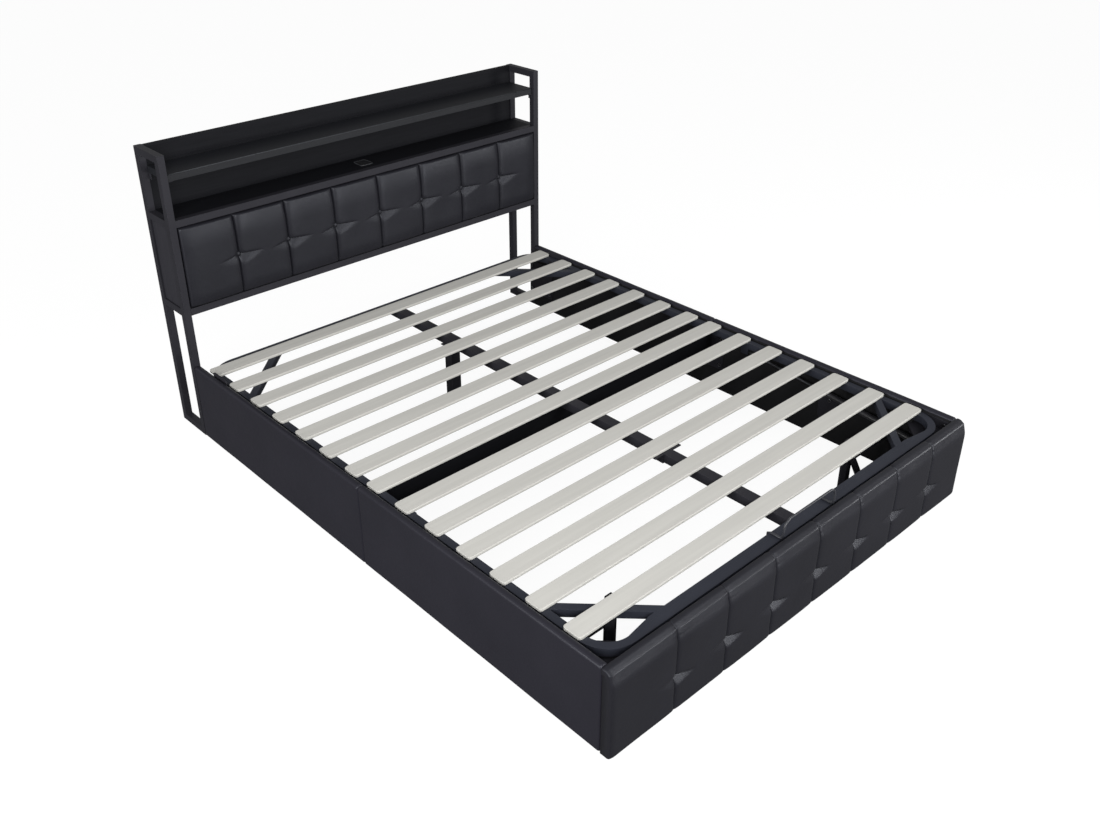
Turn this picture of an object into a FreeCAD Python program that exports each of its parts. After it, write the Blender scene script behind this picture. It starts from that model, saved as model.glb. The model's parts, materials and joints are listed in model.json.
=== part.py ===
import FreeCAD
import Part
import Sketcher
import math
import os
import re

Vector = FreeCAD.Vector

# An upholstered storage bed with a shelf headboard. Lengths are millimetres, angles degrees.
# X runs to the right as seen from the foot, Y to the headboard and Z up. The origin is on the
# floor, in the middle of the bed's outline. Right-hand pieces are drawn, left-hand ones mirrored.

# Driving sizes: a name, its value and what it measures.
SIZES = [
    ("bed_width", 1660, "outside width of the bed"),
    ("rail_length", 2018, "from the headboard's face to the inside of the footboard"),
    ("tube", 25, "side of the square steel tube"),
    ("sheet", 3, "thickness of the bolted steel plates"),
    ("gap", 0.3, "running gap between pieces that move past each other"),
    ("overrun", 5, "how far a cutting shape passes the faces that it cuts"),
    ("headboard_depth", 170, "front to rear of the headboard's ladders"),
    ("shelf_height", 826, "top of the lower shelf and of the bars beside it"),
    ("shelf_bay", 156, "from the top of the lower shelf to the top of the upper one"),
    ("upstand", 69, "ladders and back board above the upper shelf"),
    ("shelf_thickness", 24, "both shelves"),
    ("shelf_setback", 10, "upper shelf behind the headboard's face"),
    ("pad_rail_height", 503, "top of the rail under the headboard pad"),
    ("back_thickness", 15, "back board"),
    ("back_inset", 5, "back board in front of the rear faces of the posts"),
    ("panel", 12, "cabinet sides and floor"),
    ("side_inset", 7, "cabinet sides inside the outer faces of the posts"),
    ("angle_leg", 20, "each leg of a shelf angle"),
    ("angle_sheet", 2, "thickness of a shelf angle"),
    ("pad_gap", 2, "around the headboard pad"),
    ("pad_crown", 15, "how far the headboard pad swells past the rails"),
    ("pad_seat", 12, "back of the headboard pad behind the face"),
    ("pad_board", 10, "backing board of the headboard pad"),
    ("button_radius", 8, "button of the headboard pad"),
    ("button_height", 5, "button of the headboard pad"),
    ("module_length", 53, "charging module along the shelf"),
    ("module_width", 58, "charging module across the shelf"),
    ("module_setback", 51, "charging module behind the headboard's face"),
    ("module_corner", 8, "corner of its bezel"),
    ("module_bezel", 1.5, "thickness of its bezel"),
    ("module_flange", 3, "bezel beyond the body below it"),
    ("module_depth", 42, "body below the shelf's top"),
    ("port_length", 14, "one socket of the module"),
    ("port_width", 6, "one socket of the module"),
    ("port_depth", 10, "one socket of the module"),
    ("rail_height", 285, "top of the padded side rails"),
    ("rail_thickness", 25, "side rail with its padding"),
    ("padding", 10, "foam and leather over a board"),
    ("roll", 9, "rounding along the top of a side rail"),
    ("seam_round", 3, "rounding at the ends of a rail cover"),
    ("footboard_thickness", 40, "footboard with its padding"),
    ("footboard_height", 284, "top of the footboard"),
    ("footboard_board", 15, "board inside the footboard"),
    ("footboard_roll", 22, "padding over the top of that board"),
    ("tuft_height", 124, "middle of the footboard's tufts"),
    ("quilt_valley", 8, "depth of a sewn channel"),
    ("quilt_tuft", 7, "how much deeper a channel is at its tuft"),
    ("quilt_edge", 9, "how far a pad draws in at its edges"),
    ("quilt_draw", 2, "how far a pad draws in sideways at its edges"),
    ("quilt_shoulder", 28, "from a pad's edge to its full height"),
    ("quilt_step", 40, "spacing of a pad's sections between its shoulders and tufts"),
    ("quilt_swell", 0.7, "how far the smooth surface passes its fullest sections"),
    ("lift_gap", 10, "beside the platform"),
    ("lift_head_gap", 13, "between the platform and the headboard"),
    ("lift_foot_gap", 14, "between the platform and the footboard"),
    ("platform_height", 271, "top of the platform's tube"),
    ("platform_bend", 100, "outer radius of the platform's corners"),
    ("frame_joint", 544, "from the platform's foot edge to the joint of its two halves"),
    ("stiffener_width", 15, "bar along the foot tube"),
    ("stiffener_taper", 95, "tapered end of that bar"),
    ("head_brace", 310, "reach of a head corner brace along each tube"),
    ("foot_brace", 272, "reach of a foot corner brace along each tube"),
    ("slat_width", 63, "one wood slat"),
    ("slat_thickness", 10, "one wood slat"),
    ("slat_corner", 9, "rounded corner of a slat"),
    ("slat_overhang", 2, "slat past the outside of the platform's tube"),
    ("slat_start", 45, "rear edge of the first slat from the headboard's face"),
    ("slat_end", 106.9, "front edge of the last slat from the inside of the footboard"),
    ("slat_middle_pitch", 127.7, "from slat to slat over the cross beam"),
    ("centre_width", 40, "centre rail and centre leg"),
    ("centre_rail_depth", 30, "height of the centre rail's section"),
    ("centre_wall", 2, "wall of the centre rail and leg"),
    ("saddle_length", 75, "joint saddle along the centre rail"),
    ("saddle_ear", 40, "ear of the joint saddle beside the rail"),
    ("leg_place", 418, "centre leg from the headboard's face"),
    ("leg_plate", 60, "side of the plate on top of the centre leg"),
    ("glide", 5, "plastic glide under the centre leg"),
    ("stop_width", 250, "mattress stop, a bent rod"),
    ("stop_offset", 17, "middle of the mattress stop to the right of the bed's middle"),
    ("stop_height", 338, "top of the mattress stop"),
    ("stop_rod", 3.5, "radius of its rod"),
    ("stop_out", 6, "middle of the rod outside the foot tube"),
    ("stop_bend", 28, "upper bends of the rod, to its middle"),
    ("stop_foot_bend", 5.5, "bends over the foot tube, to the middle of the rod"),
    ("stop_slack", 2.2, "between the hooked end and the stiffener bar"),
    ("stop_hook", 18, "hooked end of the rod below the top of the tube"),
    ("beam_thickness", 20, "cross beam"),
    ("beam_height", 110, "cross beam"),
    ("beam_top", 235, "top of the cross beam"),
    ("plate_length", 140, "flat plate that joins two rails"),
    ("plate_height", 150, "flat plate that joins two rails"),
    ("plate_corner", 10, "corners of the flat plates"),
    ("head_plate_drop", 75, "plate at the headboard below the top of the rail"),
    ("middle_plate_drop", 45, "plate at the middle joint below the top of the rail"),
    ("stay_place", 455, "stay plate on the side rail from the inside of the footboard"),
    ("stay_length", 90, "stay plate along the rail"),
    ("stay_height", 120, "stay plate, upwards"),
    ("stay_top", 190, "top of the stay plate"),
    ("stay_corner", 30, "corners of the stay plate"),
    ("stay_bolt_drop", 28, "bolt below the top of the stay plate"),
    ("bolt_radius", 3, "shank of a bolt"),
    ("bolt_length", 12, "shank beyond the plate"),
    ("bolt_head", 7, "radius of a bolt's head"),
    ("bolt_head_height", 3, "height of a bolt's head"),
    ("bolt_inset", 20, "bolt from the upper or lower edge of its plate"),
    ("corner_height", 36, "corner angle between side rail and footboard"),
    ("corner_long_leg", 142, "leg of the corner angle on the side rail"),
    ("corner_short_leg", 60, "leg of the corner angle on the footboard"),
    ("corner_top", 268, "top of the upper corner angle"),
    ("corner_low", 40, "bottom of the lower corner angle"),
    ("corner_web", 178, "legs of the gusset under the upper corner angle"),
    ("stand_x", 563, "floor stand from the bed's middle line"),
    ("stand_place", 223, "floor stand from the inside of the footboard"),
    ("stand_height", 205, "post of a floor stand"),
    ("stand_arm_bottom", 125, "lower face of the arm to the side rail"),
    ("stand_foot_plate", 70, "end plate of the arm"),
    ("stand_foot_height", 60, "end plate of the arm, upwards"),
    ("stand_spread", 92, "foot of the slanted leg from the post"),
    ("stand_turn", -42, "heading of the slanted leg, from straight outward"),
    ("hinge_place", 140, "hinge pin from the headboard's face"),
    ("hinge_pin", 5, "radius of the hinge pin"),
    ("hinge_head", 9, "radius of its head"),
    ("hinge_plate_length", 90, "hinge plate on the side rail"),
    ("hinge_plate_height", 70, "hinge plate on the side rail"),
    ("hinge_bolt_inset", 10, "bolts above the lower edge of the hinge plate"),
    ("bracket_sheet", 4, "thickness of hinge and strut plates"),
    ("strut_foot_place", 88, "lower pivot of a gas strut from the inside of the footboard"),
    ("strut_foot_height", 160, "lower pivot of a gas strut"),
    ("strut_top_place", 191, "upper pivot of a gas strut footward of the rails' middle joint"),
    ("strut_top_height", 232, "upper pivot of a gas strut"),
    ("eye_plate_length", 32, "plate on the platform beside the upper eye"),
    ("strut_pin", 4, "radius of the pins of a gas strut"),
    ("strut_eye", 8, "radius of the eyes of a gas strut"),
    ("strut_eye_width", 14, "width of those eyes"),
    ("eye_neck", 4, "neck between the lower eye and the cylinder"),
    ("cylinder_radius", 11, "outside of a gas cylinder"),
    ("cylinder_wall", 2, "wall of a gas cylinder"),
    ("cylinder_end", 390, "from the lower pivot to the end of the cylinder"),
    ("gland_length", 15, "guide of the rod at the cylinder's end"),
    ("rod_radius", 5, "piston rod"),
    ("rod_start", 30, "from the lower pivot to the piston"),
    ("piston_length", 12, "piston"),
    ("strut_plate_length", 70, "strut plate along the side rail"),
    ("strut_plate_bottom", 120, "lower edge of the strut plate"),
    ("strut_plate_top", 229, "top of the strut plate and its ledge"),
    ("strut_bolt_drop", 40, "bolts below the top of the strut plate"),
    ("strut_plate_place", 142, "head edge of the strut plate from the inside of the footboard"),
    ("rest_length", 19, "rubber rest along the bed"),
]

# Counts, and shares that have no unit.
SLATS = 14
SLATS_TO_BEAM = 7
BEAM_PITCHES = 2
QUILT_COLUMNS = 8
QUILT_EDGE_SHARE = 0.55
QUILT_TUFT_SHARE = 0.2
QUILT_ROUND_SHARES = (0.35, 0.8)

# Places and lengths that follow from them, written as the sheet's own formulas.
PLACES = [
    ("upper_shelf_height", "shelf_height + shelf_bay"),
    ("headboard_height", "upper_shelf_height + upstand"),
    ("half_width", "bed_width / 2"),
    ("bed_length", "rail_length + footboard_thickness + headboard_depth"),
    ("face_y", "bed_length / 2 - headboard_depth"),
    ("rear_y", "bed_length / 2"),
    ("inner_x", "half_width - rail_thickness"),
    ("post_x", "half_width - tube"),
    ("board_x", "inner_x + footboard_board"),
    ("foot_inner_y", "face_y - rail_length"),
    ("middle_y", "face_y - rail_length / 2"),
    ("platform_half", "inner_x - lift_gap"),
    ("platform_head_y", "face_y - lift_head_gap"),
    ("platform_foot_y", "foot_inner_y + lift_foot_gap"),
    ("platform_length", "platform_head_y - platform_foot_y"),
    ("platform_y", "(platform_head_y + platform_foot_y) / 2"),
    ("platform_bottom", "platform_height - tube"),
    ("frame_joint_y", "platform_foot_y + frame_joint"),
    ("slat_half", "platform_half + slat_overhang"),
    ("centre_bottom", "platform_height - centre_rail_depth"),
    ("hinge_y", "face_y - hinge_place"),
    ("hinge_z", "platform_height - tube / 2"),
    ("strut_x", "platform_half - tube / 2"),
    ("strut_foot_y", "foot_inner_y + strut_foot_place"),
    ("strut_top_y", "middle_y - strut_top_place"),
    ("strut_rise", "strut_top_height - strut_foot_height"),
    ("strut_run", "strut_top_y - strut_foot_y"),
    ("strut_length", "sqrt(strut_rise * strut_rise + strut_run * strut_run)"),
    ("plate_x", "inner_x - sheet"),
    ("bracket_x", "inner_x - bracket_sheet"),
    ("head_plate_y", "face_y + tube - plate_length / 2"),
    ("strut_plate_y", "foot_inner_y + strut_plate_place"),
    ("stand_y", "foot_inner_y + stand_place"),
    ("stay_y", "foot_inner_y + stay_place"),
    ("head_plate_bottom", "rail_height - head_plate_drop - plate_height"),
    ("middle_plate_bottom", "rail_height - middle_plate_drop - plate_height"),
    ("slat_room", "rail_length - slat_start - slat_end - slat_width"),
    ("slat_pitch", "(slat_room - %d * slat_middle_pitch) / %d"
     % (BEAM_PITCHES, SLATS - BEAM_PITCHES - 1)),
    ("pad_half", "post_x - pad_gap"),
    ("pad_bottom", "pad_rail_height + pad_gap"),
    ("pad_top", "shelf_height - tube - pad_gap"),
]

doc = FreeCAD.newDocument("StorageBed")


def fill_sheet(name, rows, prefix):
    """Put rows of (alias, content) into a new sheet, each content spelt with a prefix."""
    sheet = doc.addObject("Spreadsheet::Sheet", name)
    for number, (alias, content) in enumerate(rows, start=1):
        sheet.set("A%d" % number, alias)
        sheet.set("B%d" % number, prefix + content)
        sheet.setAlias("B%d" % number, alias)
    return sheet


SIZE_NAMES = {row[0] for row in SIZES}
PLACE_NAMES = {row[0] for row in PLACES}
WORD = re.compile(r"[a-z][a-z_]*")


def spell_size(match):
    """A driving size inside a formula of the second sheet, which names its own cells bare."""
    word = match.group(0)
    return "Sizes." + word if word in SIZE_NAMES else word


def spell(text):
    """Turn the plain names of a formula into references to the two sheets."""
    def reference(match):
        word = match.group(0)
        if word in SIZE_NAMES:
            return "Sizes." + word
        return "Places." + word if word in PLACE_NAMES else word
    return WORD.sub(reference, text)


sizes = fill_sheet("Sizes", [(name, str(value)) for name, value, note in SIZES], "")
for row, (alias, amount, note) in enumerate(SIZES, start=1):
    sizes.set("C%d" % row, note)
doc.recompute()
places = fill_sheet("Places", [(name, WORD.sub(spell_size, text)) for name, text in PLACES], "=")
doc.recompute()


def value(name):
    """A size or place as a number."""
    return float(sizes.get(name) if name in SIZE_NAMES else places.get(name))


# Helpers: each takes formulas in named sizes and binds them to the piece.

TURNS = {
    "x": FreeCAD.Rotation(Vector(0, 1, 0), 90),
    "y": FreeCAD.Rotation(Vector(1, 0, 0), -90),
    "z": FreeCAD.Rotation(),
}
PARTS = []


def place(piece, spot):
    """Bind a piece's position to three formulas."""
    for axis, text in zip("xyz", spot):
        piece.setExpression("Placement.Base." + axis, spell(text))
    return piece


def block(name, lengths, spot):
    """A block with its lowest corner at a spot."""
    piece = doc.addObject("Part::Box", name)
    for side, text in zip(("Length", "Width", "Height"), lengths):
        piece.setExpression(side, spell(text))
    return place(piece, spot)


def bar(name, radius, length, axis, spot):
    """A round bar that starts at a spot and runs along an axis."""
    piece = doc.addObject("Part::Cylinder", name)
    piece.setExpression("Radius", spell(radius))
    piece.setExpression("Height", spell(length))
    piece.Placement = FreeCAD.Placement(Vector(), TURNS[axis])
    return place(piece, spot)


def weld(name, pieces):
    """One solid made of several that touch."""
    piece = doc.addObject("Part::MultiFuse", name)
    piece.Shapes = pieces
    piece.Refine = True
    return piece


def cut(name, base, tool):
    """The base without the tool."""
    piece = doc.addObject("Part::Cut", name)
    piece.Base = base
    piece.Tool = tool
    return piece


def overlap(name, base, tool):
    """What the base and the tool share."""
    piece = doc.addObject("Part::Common", name)
    piece.Base = base
    piece.Tool = tool
    return piece


def group(name, pieces):
    """Separate solids kept under one name."""
    piece = doc.addObject("Part::Compound", name)
    piece.Links = pieces
    return piece


def mirror(name, source):
    """The left-hand twin of a right-hand piece."""
    piece = doc.addObject("Part::Mirroring", name)
    piece.Source = source
    piece.Normal = Vector(1, 0, 0)
    return piece


def part(piece, label):
    """Keep a finished piece under its plain name."""
    piece.Label = label
    PARTS.append(piece)
    return piece


def part_pair(piece, label):
    """Keep a right-hand piece and its left-hand twin."""
    part(piece, label + "_right")
    part(mirror(piece.Name + "Twin", piece), label + "_left")


def both(name, piece):
    """A right-hand piece and its twin as one group of solids."""
    return group(name, [piece, mirror(name + "Twin", piece)])


def plan_plane(body):
    """The body's own horizontal plane."""
    return [plane for plane in body.Origin.OriginFeatures if plane.Role == "XY_Plane"][0]


DRAFT = 1


def rectangle(body, name, length, width):
    """A sketched rectangle, centred on the body's origin, with two bound sizes."""
    sketch = body.newObject("Sketcher::SketchObject", name)
    sketch.AttachmentSupport = [(plan_plane(body), "")]
    sketch.MapMode = "FlatFace"
    corners = [Vector(-DRAFT, -DRAFT, 0), Vector(DRAFT, -DRAFT, 0),
               Vector(DRAFT, DRAFT, 0), Vector(-DRAFT, DRAFT, 0)]
    for start, end in zip(corners, corners[1:] + corners[:1]):
        sketch.addGeometry(Part.LineSegment(start, end))
    for line in range(4):
        sketch.addConstraint(Sketcher.Constraint("Coincident", line, 2, (line + 1) % 4, 1))
    for line, kind in enumerate(("Horizontal", "Vertical", "Horizontal", "Vertical")):
        sketch.addConstraint(Sketcher.Constraint(kind, line))
    sketch.addConstraint(Sketcher.Constraint("Symmetric", 0, 1, 1, 2, -1, 1))
    sketch.addConstraint(Sketcher.Constraint("DistanceX", 0, 1, 0, 2, 2 * DRAFT))
    sketch.renameConstraint(sketch.ConstraintCount - 1, "along")
    sketch.addConstraint(Sketcher.Constraint("DistanceY", 1, 1, 1, 2, 2 * DRAFT))
    sketch.renameConstraint(sketch.ConstraintCount - 1, "across")
    sketch.setExpression("Constraints.along", spell(length))
    sketch.setExpression("Constraints.across", spell(width))
    return sketch


def round_edges(body, name, base, radius, wanted):
    """A fillet on the base feature's edges that a test picks."""
    doc.recompute()
    edges = ["Edge%d" % (i + 1) for i, edge in enumerate(base.Shape.Edges) if wanted(edge)]
    fillet = body.newObject("PartDesign::Fillet", name)
    fillet.Base = (base, edges)
    fillet.setExpression("Radius", spell(radius))
    return fillet


def upright(edge):
    """An edge that stands square to the body's plan."""
    ends = [vertex.Point for vertex in edge.Vertexes]
    return math.hypot(ends[0].x - ends[1].x, ends[0].y - ends[1].y) < abs(ends[0].z - ends[1].z)


def rounded_plate(name, length, width, thickness, corner, spot, turn=FreeCAD.Rotation()):
    """A flat plate with four rounded corners, centred in plan and laid from its spot up."""
    body = doc.addObject("PartDesign::Body", name)
    outline = rectangle(body, name + "Outline", length, width)
    pad = body.newObject("PartDesign::Pad", name + "Pad")
    pad.Profile = outline
    pad.setExpression("Length", spell(thickness))
    round_edges(body, name + "Round", pad, corner, upright)
    body.Placement = FreeCAD.Placement(Vector(), turn)
    return place(body, spot)


# A quilted pad is a loft through level sections. Each section has a straight back and one arc
# per sewn column in front, so the seams run up the pad as valleys.

def quilt_section(half, back, level, height):
    """One closed level section. The front bulges towards the foot, from seam to crown."""
    seam, crown, draw = level
    step = 2 * (half - draw) / QUILT_COLUMNS
    edges = []
    for column in range(QUILT_COLUMNS):
        left = -half + draw + step * column
        start = Vector(left, back - seam, height)
        middle = Vector(left + step / 2, back - crown, height)
        end = Vector(left + step, back - seam, height)
        edges.append(Part.Arc(start, middle, end).toShape())
    right_back = Vector(half - draw, back, height)
    left_back = Vector(-half + draw, back, height)
    edges.append(Part.makeLine(edges[-1].Vertexes[-1].Point, right_back))
    edges.append(Part.makeLine(right_back, left_back))
    edges.append(Part.makeLine(left_back, edges[0].Vertexes[0].Point))
    return Part.Wire(edges)


def even_levels(start, end, level):
    """Sections of one kind between two heights, evenly spaced at about the pad's step."""
    count = max(1, round((end - start) / value("quilt_step")))
    return [(start + (end - start) * number / count, level) for number in range(1, count)]


def quilted_pad(name, half, back, depth, bottom, top, tuft):
    """A pad with sewn columns, drawn in at its upper and lower edges and at its row of tufts."""
    valley = value("quilt_valley")
    shoulder = value("quilt_shoulder")
    edge = value("quilt_edge")
    low_share, high_share = QUILT_ROUND_SHARES
    swell = value("quilt_swell")
    depth = depth - swell
    full = (depth - valley, depth, swell)
    edge_level = (depth - valley - edge, depth - edge - valley * QUILT_EDGE_SHARE,
                  value("quilt_draw"))
    part_level = (depth - valley - edge * (1 - high_share), depth - edge * (1 - high_share),
                  swell)
    pinched = (depth - valley - value("quilt_tuft"), depth - valley * QUILT_TUFT_SHARE, swell)
    low, high = bottom + shoulder, top - shoulder
    levels = [(bottom, edge_level), (bottom + shoulder * low_share, part_level), (low, full)]
    levels += even_levels(low, tuft, full)
    levels.append((tuft, pinched))
    levels += even_levels(tuft, high, full)
    levels += [(high, full), (top - shoulder * low_share, part_level), (top, edge_level)]
    wires = [quilt_section(half, back, level, height) for height, level in levels]
    piece = doc.addObject("Part::Feature", name)
    piece.Shape = Part.makeLoft(wires, True, False)
    piece.Placement = FreeCAD.Placement()
    return piece


# Bolts, with the bores that they need in the boards behind them.

side_bolts = []
side_bores = []
foot_bolts = []
foot_bores = []


def side_bolt(spot_y, spot_z, plate="sheet"):
    """A bolt from the inside of the right-hand rail, through a plate and into the board."""
    number = len(side_bolts)
    head_x = "inner_x - %s - bolt_head_height" % plate
    head = bar("SideBoltHead%d" % number, "bolt_head", "bolt_head_height", "x",
               (head_x, spot_y, spot_z))
    shank = bar("SideBoltShank%d" % number, "bolt_radius", "%s + bolt_length" % plate, "x",
                ("inner_x - %s" % plate, spot_y, spot_z))
    side_bolts.append(weld("SideBolt%d" % number, [head, shank]))
    side_bores.append(bar("SideBore%d" % number, "bolt_radius + gap",
                          "%s + bolt_length + 2 * gap" % plate, "x",
                          ("inner_x - %s - gap" % plate, spot_y, spot_z)))


def foot_bolt(spot_x, spot_z):
    """A bolt from the inside of the footboard, through a corner angle and into the board."""
    number = len(foot_bolts)
    head = bar("FootBoltHead%d" % number, "bolt_head", "bolt_head_height", "y",
               (spot_x, "foot_inner_y + sheet", spot_z))
    shank = bar("FootBoltShank%d" % number, "bolt_radius", "sheet + bolt_length", "y",
                (spot_x, "foot_inner_y - bolt_length", spot_z))
    foot_bolts.append(weld("FootBolt%d" % number, [head, shank]))
    foot_bores.append(bar("FootBore%d" % number, "bolt_radius + gap",
                          "sheet + bolt_length + 2 * gap", "y",
                          (spot_x, "foot_inner_y - bolt_length - gap", spot_z)))


for plate_y, plate_bottom in (("head_plate_y", "head_plate_bottom"),
                              ("middle_y", "middle_plate_bottom")):
    for side in "-+":
        along = "%s %s (plate_length / 2 - tube / 2)" % (plate_y, side)
        side_bolt(along, "%s + bolt_inset" % plate_bottom)
        side_bolt(along, "%s + plate_height - bolt_inset" % plate_bottom)
side_bolt("stay_y", "stay_top - stay_bolt_drop")
for bottom in ("corner_top - corner_height", "corner_low"):
    side_bolt("foot_inner_y + corner_long_leg - tube", bottom + " + corner_height / 2")
    side_bolt("foot_inner_y + tube", bottom + " + corner_height / 2")
    foot_bolt("inner_x - corner_short_leg + tube", bottom + " + corner_height / 2")
for end in ("strut_plate_y - tube / 2", "strut_plate_y - strut_plate_length + tube / 2"):
    side_bolt(end, "strut_plate_top - strut_bolt_drop", "bracket_sheet")
for end in ("-", "+"):
    side_bolt("hinge_y %s (hinge_plate_length / 2 - tube / 2)" % end,
              "hinge_z - hinge_plate_height / 2 + hinge_bolt_inset", "bracket_sheet")
for end in ("-", "+"):
    side_bolt("stand_y %s (stand_foot_plate / 2 - tube / 2)" % end,
              "stand_arm_bottom + tube / 2")

SIDE_BORES = group("SideBores", side_bores)
FOOT_BORES = group("FootBores", foot_bores + [mirror("FootBoreTwin%d" % i, bore)
                                              for i, bore in enumerate(foot_bores, start=1)])


# Headboard ladders: two posts, a foot bar, two cross bars and a top bar, welded.

def ladder():
    """The right-hand ladder of the headboard."""
    posts = [
        block("FrontPost", ("tube", "tube", "headboard_height"), ("post_x", "face_y", "0")),
        block("RearPost", ("tube", "tube", "headboard_height"), ("post_x", "rear_y - tube", "0")),
    ]
    tops = ("tube", "pad_rail_height", "shelf_height", "headboard_height")
    rungs = [
        block("Rung%d" % number, ("tube", "headboard_depth - 2 * tube", "tube"),
              ("post_x", "face_y + tube", top + " - tube"))
        for number, top in enumerate(tops, start=1)
    ]
    return cut("Ladder", weld("LadderWeld", posts + rungs), SIDE_BORES)


part_pair(ladder(), "headboard_ladder")


def across(name, label, lengths, spot):
    """A piece that spans the headboard between the ladders."""
    return part(block(name, ("2 * post_x",) + lengths, ("-post_x",) + spot), label)


across("UpperRail", "headboard_upper_rail", ("tube", "tube"), ("face_y", "shelf_height - tube"))
across("LowerRail", "headboard_lower_rail", ("tube", "tube"), ("face_y", "pad_rail_height - tube"))
across("RearRail", "headboard_rear_rail", ("tube", "tube"),
       ("rear_y - tube", "pad_rail_height - tube"))
across("BackBoard", "back_board", ("back_thickness", "headboard_height - pad_rail_height"),
       ("rear_y - back_inset - back_thickness", "pad_rail_height"))
SHELF_DEPTH = "headboard_depth - back_inset - back_thickness"
across("UpperShelf", "upper_shelf", (SHELF_DEPTH + " - shelf_setback", "shelf_thickness"),
       ("face_y + shelf_setback", "upper_shelf_height - shelf_thickness"))
across("CabinetFloor", "cabinet_floor", ("headboard_depth - 2 * tube", "panel"),
       ("face_y + tube", "pad_rail_height - panel"))

MODULE_Y = "face_y + module_setback + module_width / 2"


def lower_shelf():
    """The lower shelf, with the opening that the charging module drops into."""
    board = block("ShelfBoard", ("2 * post_x", SHELF_DEPTH + " - tube", "shelf_thickness"),
                  ("-post_x", "face_y + tube", "shelf_height - shelf_thickness"))
    opening = block("ShelfOpening",
                    ("module_length - 2 * module_flange + 2 * gap",
                     "module_width - 2 * module_flange + 2 * gap",
                     "shelf_thickness + 2 * overrun"),
                    ("module_flange - module_length / 2 - gap",
                     "face_y + module_setback + module_flange - gap",
                     "shelf_height - shelf_thickness - overrun"))
    return cut("LowerShelf", board, opening)


part(lower_shelf(), "lower_shelf")


def charging_module():
    """A rounded bezel on the shelf, a body through it, and two sockets side by side."""
    bezel = rounded_plate("ModuleBezel", "module_length", "module_width", "module_bezel",
                          "module_corner", ("0", MODULE_Y, "shelf_height"))
    body = block("ModuleBody",
                 ("module_length - 2 * module_flange", "module_width - 2 * module_flange",
                  "module_depth"),
                 ("module_flange - module_length / 2",
                  "face_y + module_setback + module_flange", "shelf_height - module_depth"))
    ports = [
        block("ModulePort%d" % number, ("port_length", "port_width", "port_depth + overrun"),
              ("-port_length / 2", MODULE_Y + " %s port_width - port_width / 2" % side,
               "shelf_height + module_bezel - port_depth"))
        for number, side in enumerate("-+", start=1)
    ]
    return cut("Module", weld("ModuleWeld", [bezel, body]), group("ModulePorts", ports))


part(charging_module(), "charging_module")


def shelf_angles():
    """Four small angles that carry the upper shelf on the posts."""
    under = "upper_shelf_height - shelf_thickness"
    pairs = []
    for name, spot_y in (("Front", "face_y + shelf_setback"),
                         ("Rear", "rear_y - back_inset - back_thickness - angle_leg")):
        flat = block(name + "AngleFlat", ("angle_leg", "angle_leg", "angle_sheet"),
                     ("post_x - angle_leg", spot_y, under + " - angle_sheet"))
        web = block(name + "AngleWeb", ("angle_sheet", "angle_leg", "angle_leg"),
                    ("post_x - angle_sheet", spot_y, under + " - angle_leg"))
        pairs.append(both(name + "Angles", weld(name + "Angle", [flat, web])))
    return group("ShelfAngles", pairs)


part(shelf_angles(), "shelf_angles")

CABINET_SIDE = block("CabinetSide",
                     ("panel", "headboard_depth - 2 * tube",
                      "shelf_height - pad_rail_height - tube"),
                     ("half_width - side_inset - panel", "face_y + tube", "pad_rail_height"))
part(both("CabinetSides", CABINET_SIDE), "cabinet_sides")

across("PadBoard", "pad_backing_board",
       ("pad_board", "shelf_height - tube - pad_rail_height"),
       ("face_y + pad_seat", "pad_rail_height"))
part(quilted_pad("HeadPad", value("pad_half"), value("face_y") + value("pad_seat"),
                 value("pad_seat") + value("pad_crown"), value("pad_bottom"), value("pad_top"),
                 (value("pad_bottom") + value("pad_top")) / 2), "headboard_pad")


def buttons():
    """A button at each tuft of the headboard pad, seated in its seam."""
    pieces = []
    seat = "face_y - pad_crown + quilt_valley + quilt_tuft + quilt_swell"
    for number in range(1, QUILT_COLUMNS):
        spot_x = "pad_half * (%d / %d)" % (2 * number - QUILT_COLUMNS, QUILT_COLUMNS)
        pieces.append(bar("Button%d" % number, "button_radius", "button_height", "y",
                          (spot_x, seat + " - button_height", "(pad_bottom + pad_top) / 2")))
    return group("Buttons", pieces)


part(cut("ButtonsOnPad", buttons(), PARTS[-1]), "headboard_buttons")


# Side rails: a board with a padded cover over its outside and top, in two lengths a side.

def rail_half(name, label, end_y):
    """One length of the right-hand rail, from an end towards the headboard."""
    board = block(name + "Board", ("footboard_board", "rail_length / 2", "rail_height - padding"),
                  ("inner_x", end_y, "0"))
    part_pair(cut(name + "Core", board, SIDE_BORES), "rail_board_" + label)

    body = doc.addObject("PartDesign::Body", name + "Cover")
    outline = rectangle(body, name + "Outline", "rail_thickness", "rail_length / 2")
    pad = body.newObject("PartDesign::Pad", name + "Pad")
    pad.Profile = outline
    pad.setExpression("Length", spell("rail_height"))
    doc.recompute()
    top = value("rail_height")

    def along_top(edge):
        """The two long edges of the rail's top."""
        ends = [vertex.Point for vertex in edge.Vertexes]
        level = min(ends[0].z, ends[1].z) > top / 2
        return level and abs(ends[0].y - ends[1].y) > abs(ends[0].x - ends[1].x)

    rolled = round_edges(body, name + "Roll", pad, "roll", along_top)
    outside = value("rail_thickness") / 4

    def at_seam(edge):
        """The upright edges at the ends of the outer face."""
        return upright(edge) and edge.Vertexes[0].Point.x > outside

    round_edges(body, name + "Seam", rolled, "seam_round", at_seam)
    place(body, ("inner_x + rail_thickness / 2", end_y + " + rail_length / 4", "0"))
    room = block(name + "Room",
                 ("footboard_board + overrun", "rail_length / 2 + 2 * overrun",
                  "rail_height - padding + overrun"),
                 ("inner_x - overrun", end_y + " - overrun", "-overrun"))
    part_pair(cut(name + "Padding", body, room), "rail_cover_" + label)


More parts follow.
